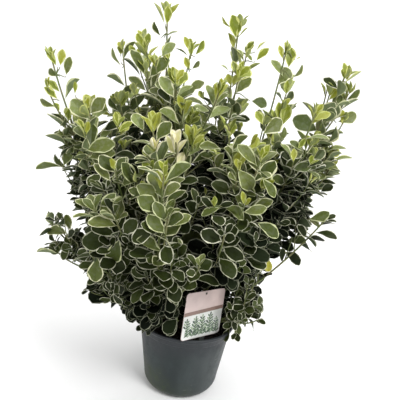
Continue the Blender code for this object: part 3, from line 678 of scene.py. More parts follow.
# Tips of lesser shoots: across, towards the back, up.
shownTips = [metres(row) for row in [
    (-326, -50, 645), (-318, 0, 600), (-289, -20, 590), (-266, 40, 622), (-222, -140, 575),
    (-220, 80, 630), (-217, 100, 752), (-162, 60, 770), (-141, 0, 705), (-115, -60, 712), (-53, 0, 755),
    (-72, -90, 688), (-99, -160, 602), (29, 40, 830), (89, 0, 770), (47, -60, 712), (13, -100, 672),
    (66, -50, 700), (35, -200, 610), (141, -50, 658), (107, -80, 636), (208, -80, 655), (243, 0, 700),
    (282, 0, 645), (175, -100, 590), (264, 0, 575), (276, 20, 545), (-147, 20, 745), (222, -50, 570),
    (92, -220, 570), (105, -200, 520), (58, -220, 550), (-154, -200, 525), (-84, -200, 550),
    (-174, -220, 450), (-138, -230, 450), (-59, -270, 536), (-62, -250, 510), (-47, -270, 465),
    (25, -220, 480), (75, -220, 490), (47, -240, 440), (12, -240, 380), (-34, -250, 385), (97, -180, 420),
    (-146, -200, 380), (-111, -220, 400), (285, 10, 705), (-281, 0, 510), (-315, -40, 365),
    (-295, -60, 330), (-255, -60, 330), (-285, -80, 380), (-221, -50, 285), (-215, -50, 250),
    (-190, -50, 230), (-139, -80, 210), (262, -20, 735), (133, -80, 270), (152, -80, 215), (90, -130, 210),
    (108, -100, 190), (-168, 20, 735), (133, 0, 740), (-300, -50, 312), (61, 0, 755), (-196, 20, 635),
    (-345, 0, 695), (-315, 20, 676), (236, 0, 707), (-263, -50, 592), (-162, 0, 655), (-98, 0, 734),
    (187, -50, 625),
]]
# Two shoots with cream tips: the length of the cream part in metres, and where that leader's curve ends
creamLeader = {"mass": "front_tall", "length": 0.075, "end": 0.94}
creamTip = {"place": (-0.084, -0.20, 0.560), "length": 0.012}
# Gaps that show sky, where sight lines cross the plane of the pot's axis: across, up, radius
skyGaps = [metres(row) for row in [
    (121, 678, 24), (102, 690, 20), (196, 307, 27), (174, 318, 20), (92, 613, 22), (184, 610, 24),
    (50, 686, 18), (258, 468, 24), (-297, 401, 27), (-82, 736, 18), (239, 689, 18), (-13, 692, 18),
    (-261, 263, 18), (-278, 623, 13), (89, 572, 13), (-308, 442, 18), (290, 639, 13), (-246, 332, 11),
    (-334, 592, 13), (-162, 168, 15), (8, 618, 11), (-210, 606, 9), (42, 620, 11), (181, 268, 18),
    (186, 219, 20), (-308, 628, 20), (-145, 139, 15), (119, 702, 18), (148, 143, 20), (-247, 223, 18),
    (-235, 172, 15), (116, 653, 15), (-355, 696, 13), (283, 451, 13), (226, 322, 15), (232, 354, 13),
    (281, 414, 11), (199, 627, 13), (169, 587, 13), (116, 596, 15), (90, 581, 11), (163, 555, 11),
    (-286, 578, 11), (-323, 595, 13), (-271, 378, 13), (-341, 358, 11), (-199, 164, 15), (12, 712, 13),
    (79, 708, 11), (-34, 709, 15), (-87, 721, 15), (-167, 750, 9), (-153, 692, 13), (-306, 673, 11),
    (279, 686, 9), (271, 637, 11), (-358, 606, 13), (215, 578, 13), (280, 336, 15), (-363, 654, 13),
    (-282, 664, 9), (-328, 490, 13), (-272, 228, 15), (318, 408, 15), (312, 512, 13), (159, 185, 11),
    (177, 270, 20), (213, 255, 20), (240, 275, 18), (311, 404, 20), (285, 375, 15), (307, 363, 13),
    (264, 327, 13), (10, 756, 18), (-331, 513, 15), (-293, 262, 18), (-260, 251, 18), (-241, 273, 11),
    (-168, 155, 20), (-123, 129, 11), (128, 322, 13), (166, 247, 15), (-316, 468, 11), (93, 739, 15),
    (-266, 643, 13),
]]
# Hollows between the front shoots, with only the shady inside behind: places on the same plane
hollows = [metres(row) for row in [
    (-21, 518, 20), (4, 510, 18), (-13, 481, 18), (26, 391, 18), (39, 340, 18), (-122, 389, 15),
    (-160, 541, 15), (-88, 267, 18), (-42, 152, 20), (-63, 119, 18), (-68, 573, 15), (-59, 548, 13),
    (-59, 522, 13), (-109, 549, 11),
]]
hollowDepth = -0.04
# Leaves that stand out, by age: where sight lines to a leaf's foot and tip cross the plane of the pot's axis
# (foot across and up, tip across and up), then 0 for a blade that faces the viewer, 1 for one turned half
# aside and 2 for one seen edge on.
shownLeaves = {
    "young": [
        (-107, 794, -108, 832, 0), (-110, 797, -93, 843, 1), (-110, 794, -135, 837, 2),
        (-150, 746, -167, 773, 0), (-146, 747, -142, 776, 0), (-75, 677, -99, 706, 0),
        (-73, 677, -56, 710, 0), (-74, 677, -80, 713, 0), (-52, 736, -54, 769, 0), (-51, 710, -65, 737, 0),
        (-44, 742, -28, 774, 1), (-327, 689, -350, 721, 0), (-321, 690, -317, 726, 0),
        (-320, 622, -354, 643, 0), (-317, 637, -345, 661, 0), (-287, 637, -290, 664, 1),
        (-298, 577, -297, 610, 0), (-196, 725, -199, 750, 0), (-261, 606, -257, 636, 0),
        (-262, 549, -260, 580, 0), (37, 782, 21, 829, 0), (24, 802, 1, 823, 2), (36, 785, 37, 822, 0),
        (44, 816, 54, 834, 2), (36, 784, 58, 808, 1), (55, 759, 75, 783, 0), (81, 745, 104, 774, 0),
        (78, 764, 96, 788, 1), (38, 690, 27, 714, 0), (39, 690, 49, 717, 0), (150, 737, 150, 782, 0),
        (136, 754, 125, 782, 0), (161, 757, 173, 762, 2), (153, 684, 152, 715, 0), (154, 621, 141, 670, 0),
        (156, 621, 160, 668, 0), (273, 726, 272, 758, 0), (271, 695, 262, 715, 0),
    ],
    "mid": [
        (-117, 771, -136, 799, 1), (-109, 771, -89, 793, 1), (-141, 689, -173, 743, 0),
        (-136, 686, -103, 735, 0), (-115, 731, -87, 763, 0), (-135, 659, -176, 689, 0),
        (-56, 738, -80, 760, 1), (-48, 715, -33, 733, 1), (-308, 672, -302, 712, 0),
        (-321, 671, -351, 681, 1), (-325, 607, -364, 617, 1), (-192, 703, -220, 737, 2),
        (-194, 713, -174, 760, 1), (-255, 599, -223, 637, 0), (-260, 521, -202, 549, 0),
        (-255, 505, -200, 532, 0), (-134, 575, -161, 618, 0), (-110, 559, -80, 604, 0),
        (-196, 459, -235, 497, 0), (-194, 465, -169, 520, 0), (55, 759, 75, 748, 0), (30, 720, 13, 732, 1),
        (143, 721, 115, 754, 0), (161, 721, 188, 746, 2), (164, 646, 177, 677, 1), (278, 688, 304, 713, 1),
        (267, 642, 312, 663, 1), (127, 513, 91, 558, 0), (127, 510, 166, 469, 0), (70, 524, 118, 476, 0),
        (33, 560, -14, 567, 0), (206, 573, 180, 597, 0), (151, 586, 171, 619, 1),
        (-233, 393, -275, 414, 0), (-169, 336, -189, 262, 0), (-217, 289, -219, 220, 0),
        (-285, 330, -340, 340, 0), (-280, 323, -267, 292, 0), (-281, 335, -294, 375, 0),
        (-44, 333, 18, 371, 0), (-35, 305, 21, 326, 0), (-64, 373, -16, 407, 0), (-49, 323, -91, 375, 1),
        (128, 408, 188, 385, 0), (242, 426, 288, 447, 1), (242, 427, 272, 413, 0), (49, 432, 6, 411, 0),
        (51, 433, 113, 423, 0), (-52, 669, -23, 698, 0),
    ],
    "old": [
        (-134, 655, -176, 626, 0), (-151, 689, -184, 728, 1), (-83, 640, -109, 673, 0),
        (-191, 612, -218, 636, 1), (-226, 567, -187, 595, 0), (-293, 476, -331, 503, 2),
        (81, 666, 119, 664, 0), (36, 620, 73, 639, 1), (261, 708, 227, 731, 0), (233, 618, 182, 645, 0),
        (210, 562, 175, 536, 0), (258, 490, 282, 512, 0), (-173, 336, -236, 358, 0),
        (-165, 297, -139, 272, 0), (-290, 314, -334, 280, 0), (-220, 287, -285, 281, 1),
        (-50, 317, -58, 285, 0), (-170, 185, -207, 174, 1), (-90, 364, -144, 333, 0),
        (199, 371, 249, 382, 0), (233, 395, 275, 372, 1), (152, 299, 176, 303, 0), (147, 292, 171, 260, 0),
        (94, 252, 137, 213, 0), (140, 180, 172, 189, 0), (141, 177, 171, 151, 1), (113, 170, 132, 121, 0),
        (104, 149, 95, 108, 0),
    ],
    # Painted shade: these leaves take the nearly black colours of the crown's inside.
    "deep": [
        (-172, 186, -235, 190, 0), (-134, 162, -153, 153, 0), (203, 348, 246, 324, 0),
        (130, 243, 169, 251, 0),
    ],
}
fallingLeaf = {"point": Vector((0.150, -0.100, 0.362)), "along": Vector((0.15, -0.2, -0.95)),
               "above": Vector((0.1, -0.95, 0.2)), "size": 0.030, "age": "yellow", "template": 0, "margin": 0,
               "shade": 0}


# Lengths in metres, angles in degrees; a share is of a path's length, or of a full turn towards something.
shootRule = {
    "twigRadius": 0.0013, "twigTip": 0.0008, "pathSteps": 7, "curveSteps": 24, "potClearance": 0.004,
    # distances between leaf pairs low down and high up, and the last pairs' distances from the tip
    "pairSpacing": (0.017, 0.031), "pairSway": (0.85, 1.15), "openHeight": (0.30, 0.66),
    "rosetteStart": 0.024, "rosette": (0.002, 0.008, 0.017),
    # how far out a shoot may end low down and high up, and the height, start and slope of the crown's skirt
    "lowShare": 0.95, "highShare": 0.85, "highStart": (0.50, 0.66), "skirt": (0.158, 0.13, 0.72),
    "mostBare": 2,
    "leader": {"end": 0.980, "tip": 0.0017, "firstLeaf": 0.02, "steps": 16},
    "shown": {"length": (0.09, 0.24), "best": 0.15, "lengthCost": 2.0, "firstRoot": 7, "arriveTurn": 0.45,
              "leaveTurn": 0.6, "reach": 0.33, "steps": 9, "radius": 0.0021, "tip": 0.0014, "firstLeaf": 0.12,
              "apart": 0.02, "mostBare": 3},
    "side": {"count": 10, "share": (0.13, 0.80), "length": (0.10, 0.17), "shorter": (1.1, 0.5),
             "angle": (32, 52), "rise": 0.13, "wander": 0.05, "thinner": (1.3, 0.3), "firstLeaf": 0.14,
             "attempts": 8, "attemptTurn": 0.37, "attemptShorter": 0.06, "fineLimit": 0.75},
    "fine": {"share": (0.25, 0.5), "length": (0.05, 0.085), "turn": 0.45, "wander": 0.06, "firstLeaf": 0.25},
    "inner": {"count": 8, "share": (0.10, 0.56), "length": (0.05, 0.085), "turn": 0.6, "wander": 0.08,
              "firstLeaf": 0.2},
    "fineRise": 0.1, "fineThickness": 1.2,
}


def polar(bearing, lean):
    b, n = math.radians(bearing), math.radians(lean)
    return Vector((math.sin(n) * math.cos(b), math.sin(n) * math.sin(b), math.cos(n)))


def turnTowards(direction, target, share):
    return (direction * (1 - share) + target * share).normalized()


def between(value, low, high):
    # Nought up to the low end, one from the high end on.
    return min(1.0, max(0.0, (value - low) / (high - low)))


def startDirections():
    # Where each bough springs from the stool's dome: near its own bearing, and none too close.
    directions = [polar(bearing, crown["fanLean"] * (lean / crown["steepest"]) ** crown["fanPower"])
                  for bearing, lean, reach, upright in masses.values()]
    spacing = math.radians(crown["startSpacing"])
    for sweep in range(crown["sweeps"]):
        for a in range(len(directions)):
            for b in range(a):
                angle = directions[a].angle(directions[b])
                if angle < spacing:
                    push = (spacing - angle) * 0.5
                    apart = (directions[a] - directions[b]).normalized()
                    directions[a] = (directions[a] + apart * push).normalized()
                    directions[b] = (directions[b] - apart * push).normalized()
        for direction in directions:
            direction.z = max(direction.z, crown["lowestStart"])
            direction.normalize()
    return directions


def bezier(points, t):
    s = 1 - t
    return points[0] * s ** 3 + points[1] * 3 * s * s * t + points[2] * 3 * s * t * t + points[3] * t ** 3


def curvePath(points, steps, first=0.0, last=1.0):
    return [bezier(points, first + (last - first) * k / steps) for k in range(steps + 1)]


def leaderCurve(bearing, lean, reach, upright, startDirection):
    tip = crown["foot"] + polar(bearing, lean) * reach
    dome = Vector((0, 0, compost["level"] + crown["gap"] + crown["stoolHeight"]))
    start = dome + startDirection * (crown["stoolRadius"] + crown["gap"])
    straight = (tip - start).normalized()
    length = (tip - start).length
    leave = turnTowards(startDirection, straight, crown["leaveTurn"])
    arrive = turnTowards(straight, up, crown["arriveTurn"] * upright)
    return [start, start + leave * length * crown["leaveReach"],
            tip - arrive * length * crown["arriveReach"], tip]


starts = startDirections()
curves = {name: leaderCurve(*mass, start) for (name, mass), start in zip(masses.items(), starts)}


def crownReach(direction):
    # How far the crown goes in a direction, from the leaders near it.
    total = 0.0
    weight = 0.0
    for bearing, lean, reach, upright in masses.values():
        away = direction.angle(polar(bearing, lean)) / math.radians(crown["neighbourAngle"])
        near = math.exp(-away ** 2) + 1e-9
        total += near * reach
        weight += near
    return total / weight


def outness(point):
    # Nought at the crown's foot, one at its outline.
    away = point - crown["foot"]
    return away.length / crownReach(away.normalized())


def overPot(point):
    return math.hypot(point.x, point.y) < pot["rimRadius"] + shootRule["potClearance"]


def inPot(point):
    return point.z < pot["height"] + shootRule["potClearance"] and overPot(point)


def onPlane(point):
    # Where the sight line to a point crosses the plane of the pot's axis.
    eye = camera["eye"]
    on = eye + (point - eye) * (-eye.y / (point.y - eye.y))
    return Vector((on.x, on.z))


def atDepth(x, z, depth):
    # The point at a depth on the sight line through a place on that plane.
    eye = camera["eye"]
    ray = Vector((x, 0, z)) - eye
    return eye + ray * ((depth - eye.y) / ray.y)


def inAny(circles, point):
    on = onPlane(point)
    return any(math.hypot(on.x - x, on.y - z) < size for x, z, size in circles)


def inSky(point):
    # Below the crown's skirt, or in the way of a gap.
    height, start, slope = shootRule["skirt"]
    if point.z < height + (math.hypot(point.x, point.y) - start) * slope:
        return not overPot(point)
    return inAny(skyGaps, point)


def hidesCard(point):
    centre = card["centre"]
    origin = centre - cardRight * card["width"] / 2 - cardUp * card["height"] / 2
    toViewer = camera["eye"] - point
    flat = (point - centre).dot(cardOut)
    if flat < -card["viewBehind"] or flat > card["viewDepth"]:
        return False
    share = flat / toViewer.dot(cardOut) if toViewer.dot(cardOut) else 0.0
    on = point - toViewer * share
    across = (on - origin).dot(cardRight) / card["width"]
    above = (on - origin).dot(cardUp) / card["height"]
    left, right = card["viewAcross"]
    foot, top = card["viewUp"]
    return left < across < right and foot < above < top


def pathLength(path):
    return sum((b - a).length for a, b in zip(path, path[1:]))


def pathPoint(path, share):
    # The point at a share of a path's length, and the path's direction there.
    lengths = [(b - a).length for a, b in zip(path, path[1:])]
    distance = share * sum(lengths)
    for index, length in enumerate(lengths):
        if distance <= length or index == len(lengths) - 1:
            a, b = path[index], path[index + 1]
            return a + (b - a) * min(1.0, distance / length), (b - a).normalized()
        distance -= length


def risingPath(start, heading, length, rise, wander, source):
    path = [start.copy()]
    steps = shootRule["pathSteps"]
    for step in range(steps):
        sway = Vector([source.uniform(-wander, wander) for axis in range(3)])
        heading = turnTowards((heading + sway).normalized(), up, rise)
        path.append(path[-1] + heading * length / steps)
    return path


def bareSpots(path):
    return sum(inSky(point) for point in path)


def fits(path):
    # High up, lesser shoots stay lower than the leaders, whose tips stand out against the sky.
    rise = between(path[-1].z, *shootRule["highStart"])
    limit = shootRule["lowShare"] + (shootRule["highShare"] - shootRule["lowShare"]) * rise
    if outness(path[-1]) > limit or bareSpots(path) > shootRule["mostBare"]:
        return False
    return not any(inPot(point) or hidesCard(point) for point in path[2:])


def newShoot(path, radius, tip, firstLeaf, kind, pale=0.0):
    # used is the share of its path up to its last leaf, which placing the leaves fills in.
    return {"path": path, "radius": radius, "tip": tip, "firstLeaf": firstLeaf, "kind": kind, "pale": pale,
            "used": 0.0}


def leaderShoots():
    rule = shootRule["leader"]
    shoots = []
    for name, curve in curves.items():
        pale, end = 0.0, rule["end"]
        if name == creamLeader["mass"]:
            pale, end = creamLeader["length"], creamLeader["end"]
        path = curvePath(curve, rule["steps"], crown["entryShare"], end)
        shoots.append(newShoot(path, crown["boughTipRadius"], rule["tip"], rule["firstLeaf"], "leader", pale))
    return shoots


def shownPath(tip, wholes):
    # The path to a tip from the place on a leader that a shoot there would leave.
    rule = shootRule["shown"]
    best = None
    shortest, longest = rule["length"]
    for whole in wholes:
        for k in range(rule["firstRoot"], len(whole) - 2):
            ray = tip - whole[k]
            direction = (whole[k + 1] - whole[k]).normalized()
            if shortest < ray.length < longest:
                cost = ray.angle(direction) + rule["lengthCost"] * abs(ray.length - rule["best"])
                if best is None or cost < best[0]:
                    best = (cost, whole[k], direction, ray)
    if best is None:
        return None
    cost, point, direction, ray = best
    reach = ray.length
    leave = turnTowards(direction, ray.normalized(), rule["leaveTurn"])
    arrive = turnTowards(ray.normalized(), up, rule["arriveTurn"])
    ends = [point, point + leave * reach * rule["reach"], tip - arrive * reach * rule["reach"], tip]
    return curvePath(ends, rule["steps"])


def shownShoots(wholes):
    rule = shootRule["shown"]
    leaderTips = [curve[3] for curve in curves.values()]
    shoots = []
    for place, pale in [(place, 0.0) for place in shownTips] + [(creamTip["place"], creamTip["length"])]:
        tip = Vector(place)
        path = shownPath(tip, wholes)
        if not path or bareSpots(path) > rule["mostBare"] or any(hidesCard(point) for point in path):
            continue
        if min((tip - end).length for end in leaderTips) > rule["apart"]:
            shoots.append(newShoot(path, rule["radius"], rule["tip"], rule["firstLeaf"], "leader", pale))
    return shoots


def fineShoot(path, rule, source):
    # A short shoot from somewhere along a path, if there is room for it.
    root, direction = pathPoint(path, source.uniform(*rule["share"]))
    flank = Quaternion(direction, source.uniform(0, math.tau)) @ direction.orthogonal().normalized()
    heading = turnTowards(direction, flank, rule["turn"])
    length = source.uniform(*rule["length"])
    path = risingPath(root, heading, length, shootRule["fineRise"], rule["wander"], source)
    if not fits(path):
        return []
    tip = shootRule["twigTip"]
    return [newShoot(path, tip * shootRule["fineThickness"], tip, rule["firstLeaf"], "fine")]


def sideShoot(whole, share, turn, number, source):
    # Try a few bearings until a shoot fits; lower ones carry a fine shoot too.
    rule = shootRule["side"]
    point, direction = pathPoint(whole, share)
    side = direction.orthogonal().normalized()
    for attempt in range(rule["attempts"]):
        around = turn + (number + attempt * rule["attemptTurn"]) * math.radians(crown["goldenAngle"])
        outward = Quaternion(direction, around) @ side
        angle = math.radians(source.uniform(*rule["angle"]))
        heading = direction * math.cos(angle) + outward * math.sin(angle)
        length = source.uniform(*rule["length"]) * (rule["shorter"][0] - rule["shorter"][1] * share)
        length *= 1 - rule["attemptShorter"] * attempt
        path = risingPath(point, heading.normalized(), length, rule["rise"], rule["wander"], source)
        if fits(path):
            radius = shootRule["twigRadius"] * (rule["thinner"][0] - rule["thinner"][1] * share)
            made = [newShoot(path, radius, shootRule["twigTip"], rule["firstLeaf"], "side")]
            return made + (fineShoot(path, shootRule["fine"], source) if share < rule["fineLimit"] else [])
    return []


def growShoots():
    # Leaders, the shoots that the photo shows, side shoots by the golden angle with fine shoots on them, and
    # short shady shoots low inside, so that no light shows through the crown's foot.
    wholes = [curvePath(curve, shootRule["curveSteps"]) for curve in curves.values()]
    shoots = leaderShoots() + shownShoots(wholes)
    source = random.Random(crown["seed"])
    rule = shootRule["side"]
    first, last = rule["share"]
    for whole in wholes:
        turn = source.uniform(0, math.tau)
        for k in range(rule["count"]):
            share = first + (last - first) * k / (rule["count"] - 1)
            shoots += sideShoot(whole, share, turn, k, source)
    source = random.Random(crown["seed"] + 3)
    for whole in wholes:
        for number in range(shootRule["inner"]["count"]):
            shoots += fineShoot(whole, shootRule["inner"], source)
    return shoots


shownRule = {
    # which leader a leaf grows from: one near its foot, in front rather than behind, and not too far
    "carrierSteps": 12, "frontPull": 0.12, "farthest": 0.075,
    # how it lies: its tip nearer or farther than its foot, its face to the viewer and the sky, turned aside
    "tipDepth": (-0.35, 0.15), "toViewer": 0.8, "toSky": 0.45, "asides": (0.0, 0.95, 1.35), "asideSway": 0.3,
    "shortestStalk": 0.003, "stalkSteps": 6, "stalkTurn": 0.5, "stalkLeave": 0.4, "stalkArrive": 0.3,
    # the room that it keeps free, in leaf lengths across and in metres behind
    "ownRadius": 0.42, "ownDepth": 0.05,
}


def placeShownLeaves(shoots):
    # Each leaf that stands out grows from the nearest leader, on a short stalk of its own.
    rule = shownRule
    source = random.Random(crown["seed"] + 2)
    carriers = []
    for shoot in shoots:
        if shoot["kind"] == "leader":
            for k in range(rule["carrierSteps"] + 1):
                share = k / rule["carrierSteps"]
                point, direction = pathPoint(shoot["path"], share)
                carriers.append((onPlane(point), point, direction, shoot, share))
    leaves = []
    stalks = []
    for age, row in [(age, row) for age, rows in shownLeaves.items() for row in rows]:
        x, z, tipX, tipZ = metres(row[:4])
        seen = Vector((x, z))
        place, point, direction, shoot, share = min(
            carriers, key=lambda carrier: (carrier[0] - seen).length + rule["frontPull"] * carrier[1].y)
        lean = source.uniform(*rule["tipDepth"]) * math.hypot(tipX - x, tipZ - z)
        root = atDepth(x, z, point.y)
        tip = atDepth(tipX, tipZ, point.y + lean)
        reach = (root - point).length
        if reach > rule["farthest"] or hidesCard(root) or hidesCard(tip):
            continue
        along = (tip - root).normalized()
        towards = (camera["eye"] - root).normalized() * rule["toViewer"] + up * rule["toSky"]
        above = (towards - along * towards.dot(along)).normalized()
        turn = rule["asides"][row[4]] * source.choice((-1, 1))
        turn += source.uniform(-rule["asideSway"], rule["asideSway"])
        above = Quaternion(along, turn) @ above
        if reach > rule["shortestStalk"]:
            leave = turnTowards(direction, (root - point).normalized(), rule["stalkTurn"])
            ends = [point, point + leave * reach * rule["stalkLeave"],
                    root - along * reach * rule["stalkArrive"], root]
            stalks.append(curvePath(ends, rule["stalkSteps"]))
        shoot["used"] = max(shoot["used"], share)
        leaves.append({"point": root, "along": along, "above": above, "size": (tip - root).length, "age": age,
                       "template": source.randrange(leafRule["templates"]),
                       "margin": source.randrange(leafRule["margins"]),
                       "shade": lighter(age, root, source.randrange(leafRule["shades"])),
                       "depth": point.y, "middle": onPlane((root + tip) / 2)})
    return leaves, stalks


def crowds(point, shown):
    # Whether a spot stands in front of, or close behind, a leaf that stands out.
    on = onPlane(point)
    return any((on - leaf["middle"]).length < leaf["size"] * shownRule["ownRadius"]
               and point.y < leaf["depth"] + shownRule["ownDepth"] for leaf in shown)


leafRule = {
    "length": {"deep": (0.032, 0.044), "old": (0.028, 0.041), "mid": (0.041, 0.058), "young": (0.034, 0.048),
               "cream": (0.034, 0.044)},
    "spread": {"deep": (50, 84), "old": (44, 78), "mid": (34, 66), "young": (28, 58), "cream": (22, 50)},
    "arch": {"deep": 0.05, "old": 0.12, "mid": 0.18, "young": 0.15, "cream": 0.15},
    "growth": {"old": 0.38, "deep": 0.28}, "growthHeight": (0.28, 0.42), "fineSize": 0.85,
    # the spread and size at a tip, and how fast they grow away from it
    "tipSpread": (0.5, 30), "tipSize": (0.55, 22),
    "sway": 0.4, "turnToLight": 0.5, "twist": 0.80, "fewest": 4, "tipFree": 0.012, "lightHeight": 0.54,
    "light": {"out": 0.6, "up": 0.8, "front": 0.95, "depth": 0.4},
    # a leaf's middle and half its width as shares of its length
    "middle": 0.6, "halfWidth": 0.3,
    "templates": 5, "narrowTemplates": 3, "margins": 2, "shades": 3, "sameShade": 0.7, "mostInPiece": 1400,
}
ageRule = {
    # where height counts from, and the height that counts as one
    "foot": 0.2, "height": 0.65,
    # young leaves: how much of a tip is young for each step up, and from where
    "youngLength": 0.11, "youngFrom": 0.42, "leaderShare": 1.2, "otherShare": 0.9, "youngSway": 0.006,
    # mid green leaves stand high and outside; old ones stand outside
    "heightLight": 0.9, "outLight": 0.8, "midLight": 1.07, "lightSway": 0.12, "outside": 0.62,
    "outsideSway": 0.1,
}


def leafAge(point, fromTip, kind, source):
    # Lime at the tips of high shoots, mid green on the outside, dark low down, and nearly black deep inside,
    # which is painted shade.
    rule = ageRule
    out = outness(point)
    height = (point.z - rule["foot"]) / rule["height"]
    share = rule["leaderShare" if kind == "leader" else "otherShare"]
    youth = rule["youngLength"] * (height - rule["youngFrom"]) * share
    youth += source.uniform(-rule["youngSway"], rule["youngSway"])
    if fromTip < youth and out > rule["outside"]:
        return "young"
    light = height * rule["heightLight"] + out * rule["outLight"]
    if light + source.uniform(-rule["lightSway"], rule["lightSway"]) > rule["midLight"]:
        return "mid"
    sway = source.uniform(-rule["outsideSway"], rule["outsideSway"])
    return "old" if out + sway > rule["outside"] else "deep"


def lighter(age, point, shade):
    # High up, older leaves are a shade lighter too.
    return shade + 1 if age in ("old", "mid") and point.z > leafRule["lightHeight"] else shade


def grownShare(point):
    # Leaves are small and round near the pot, longer and narrower from there up.
    return between(point.z, *leafRule["growthHeight"])


def pickTemplate(age, point, source):
    # The first templates are narrow and the last ones wide; old leaves are wide near the pot.
    if age != "old":
        return source.randrange(leafRule["templates"])
    narrow = source.randrange(leafRule["narrowTemplates"])
    wide = narrow + leafRule["templates"] - leafRule["narrowTemplates"]
    return wide if source.random() > grownShare(point) else narrow


def pairPlaces(path, first, source):
    # Distances of the leaf pairs from a shoot's foot: wider apart high up, close together at the tip.
    length = pathLength(path)
    near, far = shootRule["pairSpacing"]
    distance = first * length
    places = []
    while distance < length - shootRule["rosetteStart"]:
        places.append(distance)
        openness = between(pathPoint(path, distance / length)[0].z, *shootRule["openHeight"])
        distance += (near + (far - near) * openness) * source.uniform(*shootRule["pairSway"])
    return places + [length - back for back in reversed(shootRule["rosette"])]


def lightAt(point):
    # Light comes from above and outside, and in the front half from the viewer's side too.
    light = leafRule["light"]
    front = min(1.0, max(0.0, 0.5 - point.y / light["depth"]))
    outward = Vector((point.x, point.y, 0)).normalized()
    return (outward * light["out"] + up * light["up"] - Vector((0, light["front"] * front, 0))).normalized()


def pairedLeaf(point, direction, turn, fromTip, age, kind, source):
    # One leaf of a pair: spread from its shoot, arched upwards and turned to the light.
    rule = leafRule
    outward = Quaternion(direction, turn) @ direction.orthogonal().normalized()
    least, growth = rule["tipSpread"]
    spread = math.radians(source.uniform(*rule["spread"][age])) * min(1.0, least + fromTip * growth)
    least, growth = rule["tipSize"]
    size = source.uniform(*rule["length"][age]) * min(1.0, least + fromTip * growth)
    if age in rule["growth"]:
        size *= 1 + rule["growth"][age] * grownShare(point)
    if kind == "fine":
        size *= rule["fineSize"]
    along = direction * math.cos(spread) + outward * math.sin(spread)
    above = direction * math.sin(spread) - outward * math.cos(spread)
    along = turnTowards(along, up, rule["arch"][age])
    light = lightAt(point)
    lit = light - along * light.dot(along)
    above = (above - along * above.dot(along)).normalized()
    above = turnTowards(above, lit.normalized(), rule["turnToLight"])
    above = Quaternion(along, source.uniform(-1, 1) * rule["twist"]) @ above
    return {"point": point, "along": along, "above": above, "size": size, "age": age}


def hasRoom(leaf, atTip, shown):
    # Whether a leaf keeps clear of the pot, the card, the gaps, the hollows and the leaves that stand out.
    tip = leaf["point"] + leaf["along"] * leaf["size"]
    middle = leaf["point"] + leaf["along"] * leaf["size"] * leafRule["middle"]
    width = leaf["along"].cross(leaf["above"]).normalized() * leaf["size"] * leafRule["halfWidth"]
    if any(inPot(spot) or hidesCard(spot) for spot in (tip, middle + width, middle - width)):
        return False
    hollow = leaf["age"] != "cream" and leaf["point"].y < hollowDepth and inAny(hollows, middle)
    return not (hollow or inSky(middle) or not atTip and crowds(middle, shown))


def placeLeaves(shoots, shown):
    rule = leafRule
    leaves = list(shown)
    source = random.Random(crown["seed"] + 1)
    for shoot in shoots:
        length = pathLength(shoot["path"])
        turn = source.uniform(0, math.tau)
        shade = source.randrange(rule["shades"])
        own = []
        furthest = 0.0
        for number, distance in enumerate(pairPlaces(shoot["path"], shoot["firstLeaf"], source)):
            point, direction = pathPoint(shoot["path"], distance / length)
            fromTip = length - distance
            age = leafAge(point, fromTip, shoot["kind"], source)
            if fromTip < shoot["pale"]:
                age = "cream"
            for half in range(2):
                sway = source.uniform(-rule["sway"], rule["sway"])
                around = turn + number * math.pi / 2 + half * math.pi + sway
                leaf = pairedLeaf(point, direction, around, fromTip, age, shoot["kind"], source)
                if not hasRoom(leaf, shoot["kind"] == "leader" and fromTip < rule["tipFree"], shown):
                    continue
                furthest = distance / length
                leaf["template"] = pickTemplate(age, point, source)
                leaf["margin"] = source.randrange(rule["margins"])
                same = source.random() < rule["sameShade"]
                leaf["shade"] = lighter(age, point, shade if same else source.randrange(rule["shades"]))
                own.append(leaf)
        if len(own) >= rule["fewest"]:
            leaves += own
            shoot["used"] = max(shoot["used"], furthest)
    return leaves + [fallingLeaf]


# Leaf shapes: unit length along +Y, upper side +Z. Widths and rises are shares of the length.
leafShapes = {
    "deep": {"width": (0.58, 0.70), "fold": (0.10, 0.38), "bend": (0.1, 0.7), "margin": (0.026, 0.040),
             "tip": (0.48, 0.56)},
    "old": {"width": (0.46, 0.70), "fold": (0.20, 0.60), "bend": (0.1, 0.7), "margin": (0.026, 0.042),
            "tip": (0.48, 0.62)},
    "mid": {"width": (0.43, 0.60), "fold": (0.34, 0.80), "bend": (-0.2, 0.7), "margin": (0.028, 0.045),
            "tip": (0.50, 0.70)},
    "young": {"width": (0.42, 0.56), "fold": (0.30, 0.70), "bend": (-0.7, 0.4), "margin": (0.045, 0.080),
              "tip": (0.56, 0.74)},
    "cream": {"width": (0.44, 0.56), "fold": (0.2, 0.6), "bend": (-0.5, 0.5), "margin": (0.10, 0.15),
              "tip": (0.56, 0.66)},
    "yellow": {"width": (0.56, 0.60), "fold": (0.2, 0.3), "bend": (0.2, 0.4), "margin": (0.06, 0.07),
               "tip": (0.50, 0.58)},
    "rows": (0.018, 0.095, 0.24, 0.42, 0.60, 0.76, 0.885, 0.965), "plainRows": (0.03, 0.16, 0.42, 0.70, 0.93),
    "thickness": 0.012, "stalk": 0.09, "broadest": 1.25, "wedge": 0.36, "flatFold": 0.6, "leastBlade": 0.35,
    # the edge: waves up and down, crimps in and out, and a margin of uneven width
    "waves": 7, "waveHeight": 0.026, "crimps": 15, "crimpDepth": 0.035, "ragged": 0.6, "raggedStep": 2.3,
    "footMargin": 0.4, "tipMargin": 0.6, "crease": 16.0, "leastBend": 0.001,
}
leafParts = ("blade", "margin", "under")


